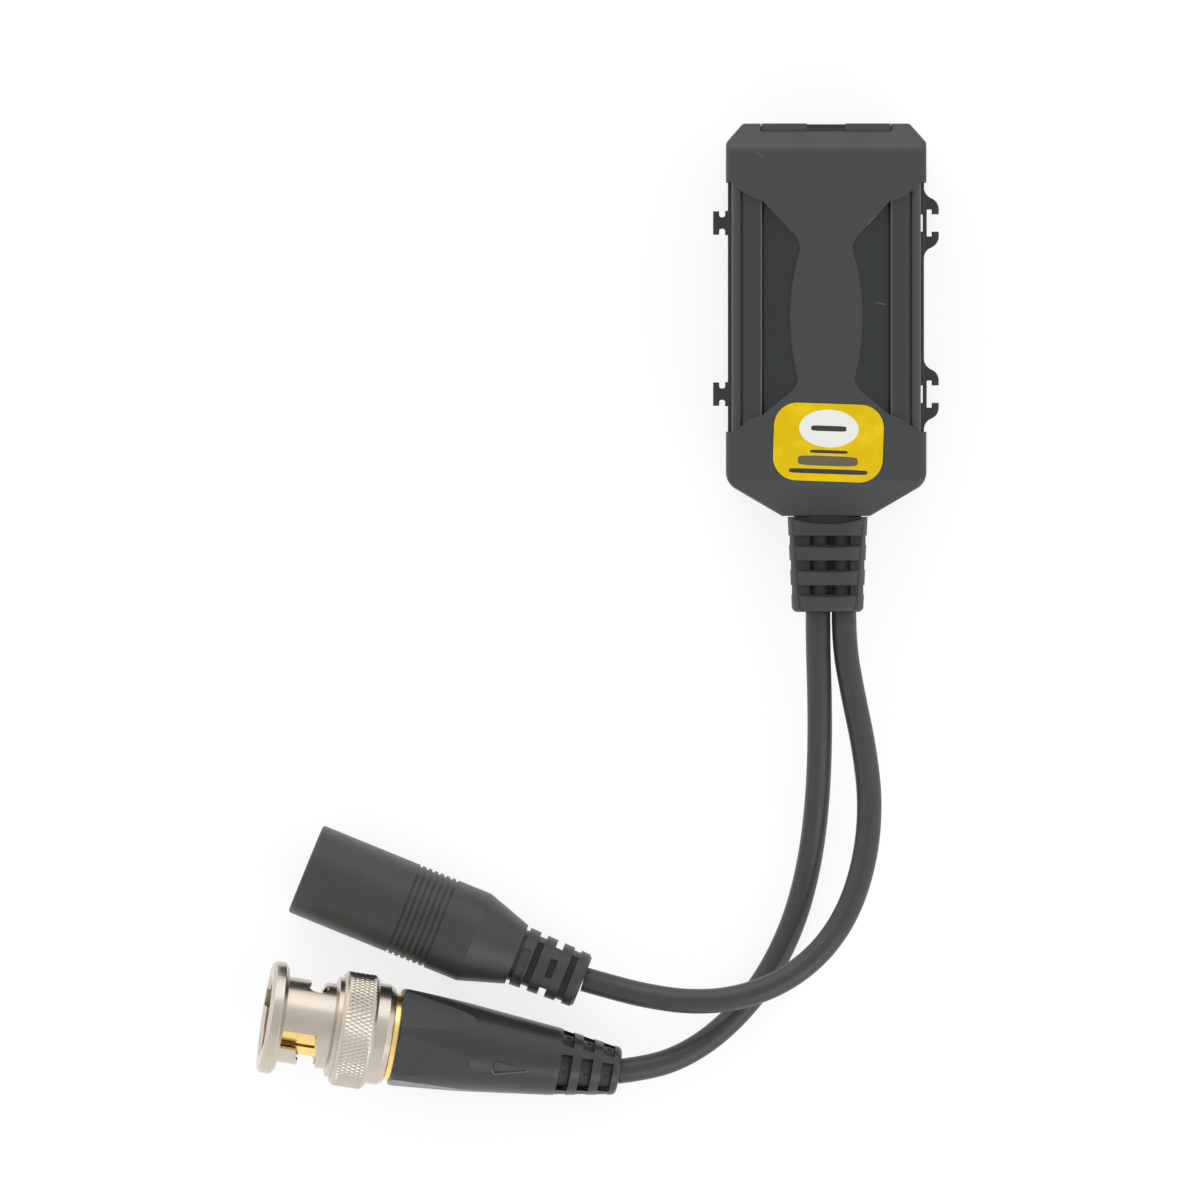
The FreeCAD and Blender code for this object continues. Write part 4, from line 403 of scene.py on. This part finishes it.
# sunken panels of the front shell, mm from its middle
facets = {
    "below": 18.82, "middle": 1.4, "reach": 13.8,   # what counts as a panel
    # the band colour is painted shade on the sunken band inside the grooves
    "groove": 10.4, "shadedBandColour": (0.012, 0.014, 0.015),
    # the line colour is a painted highlight along each ridge
    "ridge": 8.04, "ridgeHighlightWide": 0.16, "ridgeHighlightColour": (0.075, 0.078, 0.080),
    # the panels' colour is painted shade; their roughness and specular are their polish
    "colour": (0.017, 0.020, 0.022), "roughness": 0.22, "specular": 0.42,
    # scratches of the whole shell: where, length, direction in degrees
    "scratches": [((-8.5, 20.7), 1.3, -35.0), ((5.6, 12.4), 1.6, 40.0), ((6.8, 2.0), 1.5, -15.0)],
    "scratchWide": 0.05, "scratchColour": (0.14, 0.14, 0.14), "scratchShare": 0.6,
    "wave": 0.5, "waveSize": 0.8,   # how far a scratch strays from its line
}


def shadeAndPolishFacets(s):
    # painted shade on the sunken band and panels beside the ridge lines, a painted highlight along
    # each ridge, polished between them and the raised centre
    f = facets
    x, y, z = s.axes(s.place)
    across = s.math("ABSOLUTE", x)
    panel = s.every(s.below(z, f["below"] * mm), s.near(y, f["middle"] * mm, f["reach"] * mm))
    # painted shade on the sunken band and panels
    s.blend(s.every(panel, s.below(across, f["groove"] * mm)), f["shadedBandColour"])
    polishedAndShaded = s.every(panel, s.below(across, f["ridge"] * mm))
    # painted shade on the panels inside the ridges
    s.blend(polishedAndShaded, f["colour"])
    # a painted highlight along each ridge
    ridgeHighlight = s.near(across, (f["ridge"] + f["ridgeHighlightWide"] / 2) * mm, f["ridgeHighlightWide"] / 2 * mm)
    s.blend(s.every(panel, ridgeHighlight), f["ridgeHighlightColour"])
    s.blend(polishedAndShaded, f["roughness"], "Roughness")
    s.blend(polishedAndShaded, f["specular"], "Specular IOR Level")
    for at, length, turn in f["scratches"]:
        along, beside, upward = s.axes(s.seenFrom(placed(at, turn)))
        stray = s.math("MULTIPLY", s.noise(f["waveSize"]), f["wave"] * mm)
        thin = s.near(s.math("ADD", beside, stray), f["wave"] / 2 * mm, f["scratchWide"] * mm)
        short = s.near(along, 0.0, length / 2 * mm)
        s.blend(s.every(thin, short, f["scratchShare"]), f["scratchColour"])
    return s


# teardrop recess of the boot, in the plug's axes turned about them by some degrees; mm
recess = {
    "turn": -21.5, "point": 11.6, "round": 15.5, "end": 16.3, "half": 0.93, "wide": 0.96,
    "floorAt": 4.55, "thick": 0.03,     # from the plug's axis, and half a thickness
    "shade": 0.62,                      # share of the half width where the painted shade starts
    "lip": 0.08,                        # half thickness of the painted highlight on the lower wall
    "arcAt": 15.13, "arcIn": 0.72, "arcOut": 1.0,   # round end: middle, painted shade from, painted highlight at
    "arcSplit": 0.25,                   # how far across the painted shade gives way to the painted highlight
    "arcSpread": 0.16,                  # square mm on either side of the painted highlight arc
    "overlap": 0.05,                    # how far that arc runs on along the straight wall
    # the floor colour is painted light, the light one a painted highlight, the dark one painted
    # shade
    "floor": (0.062, 0.064, 0.066), "light": (0.17, 0.17, 0.17), "paintedShade": (0.004, 0.004, 0.004),
}


def paintRecessLightAndShade(s):
    # painted light on the floor, painted shade along the upper wall and in the round end, painted
    # highlights on the lower wall and round the round end
    d = recess
    turned = s.at((-math.radians(d["turn"]), 0, 0), source=s.seenFrom(frameOf(plug)))
    along, across, up = s.axes(turned)
    slope = d["half"] / (d["round"] - d["point"])
    half = s.math("MULTIPLY", s.math("SUBTRACT", along, d["point"] * mm), slope)
    length = s.near(along, (d["point"] + d["end"]) / 2 * mm, (d["end"] - d["point"]) / 2 * mm)
    floor = s.every(s.near(up, d["floorAt"] * mm, d["thick"] * mm),
                    s.near(across, 0.0, d["wide"] * mm), length)
    # painted light on the recess floor
    s.blend(floor, d["floor"])
    shadowedUpper = s.below(across, s.math("MULTIPLY", half, -d["shade"]))
    # painted shade along the upper wall
    s.blend(s.every(floor, shadowedUpper), d["paintedShade"])

    # the round end: its distance from the arc's middle, squared
    ahead = s.math("SUBTRACT", along, d["arcAt"] * mm)
    away = s.math("ADD", s.math("POWER", ahead, 2.0), s.math("POWER", across, 2.0))
    shadedArc = s.every(s.above(away, (d["arcIn"] * mm) ** 2), s.above(ahead, 0.0),
                  s.below(across, d["arcSplit"] * mm))
    # painted shade in the round end
    s.blend(s.every(floor, shadedArc), d["paintedShade"])
    raised = s.above(up, (d["floorAt"] + d["thick"]) * mm)
    highlightBend = s.every(s.near(away, (d["arcOut"] * mm) ** 2, d["arcSpread"] * mm * mm),
                   s.above(across, d["arcSplit"] * mm),
                   s.above(along, (d["round"] - d["overlap"]) * mm), raised)
    # painted highlight round the round end
    s.blend(highlightBend, d["light"])
    highlightWall = s.every(s.near(across, half, d["lip"] * mm), raised, length,
                   s.below(along, d["round"] * mm))
    # painted highlight on the lower wall
    s.blend(highlightWall, d["light"])
    return s


# painted shade and painted highlights on the moulded pieces: middle and half size on each axis, mm
paintedLightZones = {
    "relief": [
        (((0.2, 8.0), (-30.5, 6.0), (12.62, 0.13)), (0.012, 0.013, 0.014)),   # painted shade on the groove floors
        (((0.5, 2.6), (-31.0, 5.0), (9.5, 2.7)), (0.075, 0.078, 0.08)),       # painted highlight on the cables in them
    ],
    "socket": [
        (((0.0, 2.45), (24.0, 0.6), (16.5, 2.6)), (0.008, 0.003, 0.003)),     # painted shade in the latch notch, with a reddish tint
    ],
}


def paintLightZones(s, zone):
    place = s.axes(s.place)
    for sides, colour in paintedLightZones[zone]:
        masks = [s.near(value, middle * mm, half * mm)
                 for value, (middle, half) in zip(place, sides)]
        # each zone's painted shade or painted highlight, one by one
        s.blend(s.every(*masks), colour)
    return s


# yellow vinyl label with plain shapes
ink = (0.05, 0.045, 0.04)
vinyl = {
    "centre": (0.25, -15.35), "turn": -2.0,
    "yellow": (0.64, 0.445, 0.002), "pale": (0.74, 0.53, 0.008), "specular": 0.12,
    "cloud": {"noise": (3.2, 3.0), "shows": ((0.45, 0.0), (0.62, 0.75))},
    # paler in patches towards the bottom: below that many mm from the middle, by that share, in
    # blobs that size
    "paleBelow": -1.5, "paleShare": 0.25, "paleSize": 2.0,
    # middle and half size in mm, squareness (2 for an oval), colour
    "shapes": [
        ((0.0, 1.75), (3.7, 2.35), 2.0, (0.74, 0.74, 0.70)),
        ((0.0, -2.3), (3.75, 0.62), 5.0, (0.13, 0.11, 0.07)),
        ((0.1, -1.15), (2.35, 0.20), 6.0, ink),
        ((0.1, -3.62), (4.9, 0.30), 6.0, ink),
        ((0.0, 1.75), (2.2, 0.34), 6.0, ink),
    ],
    "roughness": 0.42, "sheen": (1.0, 3.0), "smoother": -0.06, "rougher": 0.08,
    "bumps": [((2.5, 2.0), 0.02, 1.0), ((0.12, 2.0), 0.003, 1.0)],
}


def vinylLabel():
    p = vinyl
    s = Shader("labelVinyl", p["yellow"], p["roughness"], specular=p["specular"])
    across, upward, outward = s.axes(s.seenFrom(placed(p["centre"], p["turn"])))

    def rounded(at, size, power):
        # 1 inside a rounded shape, 0 outside
        parts = []
        for value, middle, half in zip((across, upward), at, size):
            away = s.math("ABSOLUTE", s.math("SUBTRACT", value, middle * mm))
            parts.append(s.math("POWER", s.math("DIVIDE", away, half * mm), power))
        return s.below(s.math("ADD", *parts), 1.0)

    s.layer(p["cloud"], p["pale"])
    # paler in patches towards the bottom
    lower = s.every(s.below(upward, p["paleBelow"] * mm), p["paleShare"])
    s.blend(s.every(lower, s.noise(p["paleSize"])), p["pale"])
    for at, size, power, colour in p["shapes"]:
        s.blend(rounded(at, size, power), colour)
    s.sheen(p, p["roughness"])
    s.grain(p)
    return s


# every finish, made with its name, colour and roughness
caseGrey = (0.0195, 0.022, 0.0235)
finishes = {
    "frontShell": shadeAndPolishFacets(mouldedPlastic("frontSatin", caseGrey, 0.48)),
    "case": mouldedPlastic("caseSatin", caseGrey, 0.48),
    "label": vinylLabel(),
    "board": plain("boardGreen", (0.02, 0.16, 0.05), 0.35),
    "socket": paintLightZones(
        mouldedPlastic("socketGrey", (0.03, 0.032, 0.034), 0.45, ("cloud", "mottle")), "socket"),
    "ferrite": plain("ferriteGrey", (0.035, 0.035, 0.04), 0.6, spotSize=0.5),
    "copper": plain("copperWire", (0.62, 0.22, 0.08), 0.3, metallic=0.9, spotSize=0.4),
    "ceramic": plain("ceramicGlaze", (0.45, 0.38, 0.28), 0.3),
    "can": plain("canSleeve", (0.03, 0.035, 0.07), 0.35),
    "relief": paintLightZones(softPvc("reliefPvc", (0.032, 0.035, 0.037), 0.5), "relief"),
    "cord": softPvc("cordPvc", (0.030, 0.032, 0.033), 0.40),
    "lead": plain("leadRed", (0.5, 0.04, 0.03), 0.4),
    "boot": paintRecessLightAndShade(softPvc("bootPvc", (0.026, 0.028, 0.030), 0.27)),
    "bootCore": softPvc("corePvc", (0.010, 0.011, 0.012), 0.5),
    "powerSocket": softPvc("powerPvc", (0.031, 0.033, 0.034), 0.38),
    "nickel": platedMetal("nickelPlate", (0.60, 0.54, 0.465), 0.22, plug, (0.50, 0.43, 0.35)),
    "gold": platedMetal("goldPlate", (1.0, 0.74, 0.27), 0.24, plug, (0.8, 0.5, 0.12)),
    "powerNickel": platedMetal("contactNickel", (0.78, 0.70, 0.61), 0.25, power),
    "insulator": plain("insulatorWhite", (0.75, 0.74, 0.70), 0.5),
    "silicone": plain("siliconeRed", (0.45, 0.07, 0.04), 0.5),
    "steel": platedMetal("springSteel", (0.55, 0.55, 0.55), 0.3, plug),
}

# which node has which
finishOf = {
    "front_cover": "frontShell", "rear_cover": "case", "label": "label", "circuit_board": "board",
    "socket_housing": "socket", "contact_carrier": "socket", "contact_wires": "gold",
    "transformer_core": "ferrite", "transformer_winding": "copper", "choke": "ferrite",
    "surge_arresters": "ceramic", "capacitor": "can", "strain_relief": "relief",
    "video_leads": "lead", "power_leads": "lead", "plug_boot": "boot", "crimp_ferrule": "nickel",
    "plug_body": "gold", "plug_insulator": "insulator", "outer_contact": "gold",
    "centre_contact": "gold", "plug_gasket": "silicone", "retaining_ring": "steel",
    "slip_washer": "steel", "wave_spring": "steel", "bayonet_nut": "nickel",
    "power_housing": "powerSocket", "power_insert": "socket", "power_spring_contact": "powerNickel",
    "power_centre_pin": "powerNickel", "video_cable": "cord", "power_cable": "cord",
}


def dressPiece(item, finish):
    item.data.materials.clear()
    item.data.materials.append(finishes[finish].material)


for name, finish in finishOf.items():
    dressPiece(nodes[name], finish)
dressPiece(videoCable, "cord")
dressPiece(powerCable, "cord")
print("finishes on", len(finishOf), "nodes")


def newPiece(name, mesh):
    data = bpy.data.meshes.new(name)
    mesh.to_mesh(data)
    mesh.free()
    item = bpy.data.objects.new(name, data)
    bpy.context.scene.collection.objects.link(item)
    return item


def addSpring():
    mesh = bmesh.new()
    mesh.from_mesh(nodes["wave_spring"].data)
    bmesh.ops.remove_doubles(mesh, verts=mesh.verts[:], dist=1e-6)
    bmesh.ops.recalc_face_normals(mesh, faces=mesh.faces[:])
    return newPiece("waveSpring", mesh)


waveSpring = addSpring()
dressPiece(waveSpring, "steel")
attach(waveSpring, "case")
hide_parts("wave_spring")
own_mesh(waveSpring)
print("spring made")


# round core behind the windows of the boot, with a pip in each window; mm along the plug
core = {
    "from": 0.6, "to": 8.2, "thin": 2.6, "thick": 3.62, "sides": 48,
    "pips": (1.6, 4.2, 6.85), "pipRadius": 0.26, "turn": -21.5, "around": 4,
}


def addCore():
    c = core
    mesh = bmesh.new()
    lying = Matrix.Rotation(math.radians(90), 4, "Y")
    middle = Matrix.Translation(((c["from"] + c["to"]) / 2 * mm, 0, 0))
    bmesh.ops.create_cone(
        mesh, cap_ends=True, segments=c["sides"], radius1=c["thin"] * mm, radius2=c["thick"] * mm,
        depth=(c["to"] - c["from"]) * mm, matrix=middle @ lying)
    bmesh.ops.transform(mesh, matrix=frameOf(plug), verts=mesh.verts[:])
    return newPiece("bootCore", mesh)


def addPips():
    c = core
    mesh = bmesh.new()
    for side in range(c["around"]):
        around = Matrix.Rotation(math.radians(c["turn"] + 360 / c["around"] * side), 4, "X")
        for along in c["pips"]:
            share = (along - c["from"]) / (c["to"] - c["from"])
            height = c["thin"] + (c["thick"] - c["thin"]) * share
            spot = around @ Matrix.Translation((along * mm, 0, height * mm))
            bmesh.ops.create_icosphere(
                mesh, subdivisions=2, radius=c["pipRadius"] * mm, matrix=spot)
    bmesh.ops.transform(mesh, matrix=frameOf(plug), verts=mesh.verts[:])
    return newPiece("bootPips", mesh)


bootCore = addCore()
bootPips = addPips()
dressPiece(bootCore, "bootCore")
dressPiece(bootPips, "cord")
for piece in (bootCore, bootPips):
    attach(piece, "case")
print("boot core made")


# knurl of the nut's grip, along the plug between the grip's chamfers; mm
knurl = {
    "from": 31.72, "to": 35.38, "radius": 7.12, "height": 0.11, "inside": 6.9,
    "around": 84, "rows": 3,
}


def only(kind, parts):
    return [part for part in parts if isinstance(part, kind)]


def setRadius(verts, radius):
    # moves vertices straight out from the X axis, or in
    for vertex in verts:
        flat = Vector((0, vertex.co.y, vertex.co.z))
        vertex.co = Vector((vertex.co.x, 0, 0)) + flat.normalized() * radius * mm


def addKnurl():
    # a ring of small pyramids, cut by two sets of spiral lines
    k = knurl
    mesh = bmesh.new()
    start = Matrix.Translation((k["from"] * mm, 0, 0)) @ Matrix.Rotation(math.radians(90), 4, "Y")
    bmesh.ops.create_circle(mesh, segments=k["around"], radius=k["radius"] * mm, matrix=start)
    rim = mesh.edges[:]
    step = (k["to"] - k["from"]) / k["rows"] * mm
    for row in range(k["rows"]):
        made = bmesh.ops.extrude_edge_only(mesh, edges=rim)["geom"]
        bmesh.ops.translate(mesh, verts=only(bmesh.types.BMVert, made), vec=(step, 0, 0))
        rim = only(bmesh.types.BMEdge, made)
    outer = [edge for edge in mesh.edges if len(edge.link_faces) == 2]
    bmesh.ops.poke(mesh, faces=mesh.faces[:], offset=0.0)
    setRadius(mesh.verts, k["radius"])
    bmesh.ops.dissolve_edges(mesh, edges=outer, use_verts=False)
    bmesh.ops.recalc_face_normals(mesh, faces=mesh.faces[:])
    bmesh.ops.poke(mesh, faces=mesh.faces[:], offset=k["height"] * mm)

    # the ring's ends and its inner wall
    rims = [edge for edge in mesh.edges if len(edge.link_faces) == 1]
    made = bmesh.ops.extrude_edge_only(mesh, edges=rims)["geom"]
    setRadius(only(bmesh.types.BMVert, made), k["inside"])
    rims = [edge for edge in mesh.edges if len(edge.link_faces) == 1]
    bmesh.ops.bridge_loops(mesh, edges=rims)
    bmesh.ops.recalc_face_normals(mesh, faces=mesh.faces[:])
    bmesh.ops.transform(mesh, matrix=frameOf(plug), verts=mesh.verts[:])
    return newPiece("gripKnurl", mesh)


gripKnurl = addKnurl()
dressPiece(gripKnurl, "nickel")
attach(gripKnurl, "nut")
print("knurl cut")


# the pieces at the video cable's two ends, gathered in lists
plugNodes = ["plug_boot", "crimp_ferrule", "plug_body", "plug_insulator", "outer_contact",
             "centre_contact", "plug_gasket", "retaining_ring", "slip_washer", "bayonet_nut"]
plugPieces = [nodes["strain_relief"], bootCore, bootPips, waveSpring, gripKnurl]
plugPieces += [nodes[name] for name in plugNodes]


# pale floor, in metres; "share" of its colour and its own "glow" are for where it is seen
paper = {
    "size": 6.0, "level": -0.0002, "colour": 0.86, "roughness": 0.9, "share": 0.3, "glow": 0.78,
}


def addFloor():
    p = paper
    mesh = bmesh.new()
    bmesh.ops.create_grid(mesh, x_segments=1, y_segments=1, size=p["size"])
    item = newPiece("floor", mesh)
    item.location.z = p["level"]
    s = Shader("floorPaper", (p["colour"],) * 3, p["roughness"], specular=0.0)
    paths = s.add("LightPath")
    seen = s.math("MAXIMUM", paths.outputs["Is Camera Ray"], paths.outputs["Is Glossy Ray"])
    seen = s.math("MAXIMUM", seen, paths.outputs["Is Transmission Ray"])
    s.blend(seen, (p["colour"] * p["share"],) * 3)
    glow = s.math("MULTIPLY", seen, p["glow"])
    s.join(glow, s.shader.inputs["Emission Strength"])
    s.shader.inputs["Emission Color"].default_value = (1, 1, 1, 1)
    item.data.materials.append(s.material)


# lamps and surroundings, in watts and metres
light = {
    # brightness of the surroundings by height: 0 at the horizon, 1 straight above
    "world": ((0.0, 1.0), (0.45, 0.97), (0.7, 0.84), (0.9, 0.7), (1.0, 0.66)),
    "level": 1.12, "slant": 0.13,   # all of it, and how much more beyond the socket's end
    "key": 7.0, "keySize": 1.5, "keyAt": (-0.35, 1.5, 0.95),
    "fill": 7.0, "fillSize": 1.2, "fillAt": (0.9, -1.2, 0.9),
    "aim": (-0.02, -0.035, 0.0),
}


def addLamp(name, power, size, at):
    data = bpy.data.lights.new(name, "AREA")
    data.energy = power
    data.size = size
    item = bpy.data.objects.new(name, data)
    bpy.context.scene.collection.objects.link(item)
    item.location = at
    aim = Vector(light["aim"]) - Vector(at)
    item.rotation_euler = aim.to_track_quat("-Z", "Y").to_euler()
    item.visible_camera = False


def addWorld():
    # soft surroundings for the object, plain white where the camera sees them
    world = bpy.data.worlds.new("studio")
    bpy.context.scene.world = world
    world.use_nodes = True
    w = Wiring(world.node_tree)
    x, y, z = w.axes(w.add("TexCoord").outputs["Generated"])
    around = w.add("VectorMath", operation="SCALE")
    w.join(w.ramp(z, light["world"]), around.inputs["Vector"])
    level = w.math("MULTIPLY_ADD", y, light["slant"], light["level"])
    w.join(level, around.inputs["Scale"])
    paths = w.add("LightPath")
    seen = w.math("MAXIMUM", paths.outputs["Is Camera Ray"], paths.outputs["Is Transmission Ray"])
    mix = w.add("Mix", data_type="RGBA")
    w.join(seen, mix.inputs["Factor"])
    w.join(around.outputs["Vector"], mix.inputs["A"])
    mix.inputs["B"].default_value = (1, 1, 1, 1)
    w.join(mix.outputs["Result"], w.tree.nodes["Background"].inputs["Color"])


addFloor()
addLamp("keyLamp", light["key"], light["keySize"], light["keyAt"])
addLamp("fillLamp", light["fill"], light["fillSize"], light["fillAt"])
addWorld()
bpy.context.scene.view_settings.view_transform = "Standard"
print("floor, lamps and world ready")
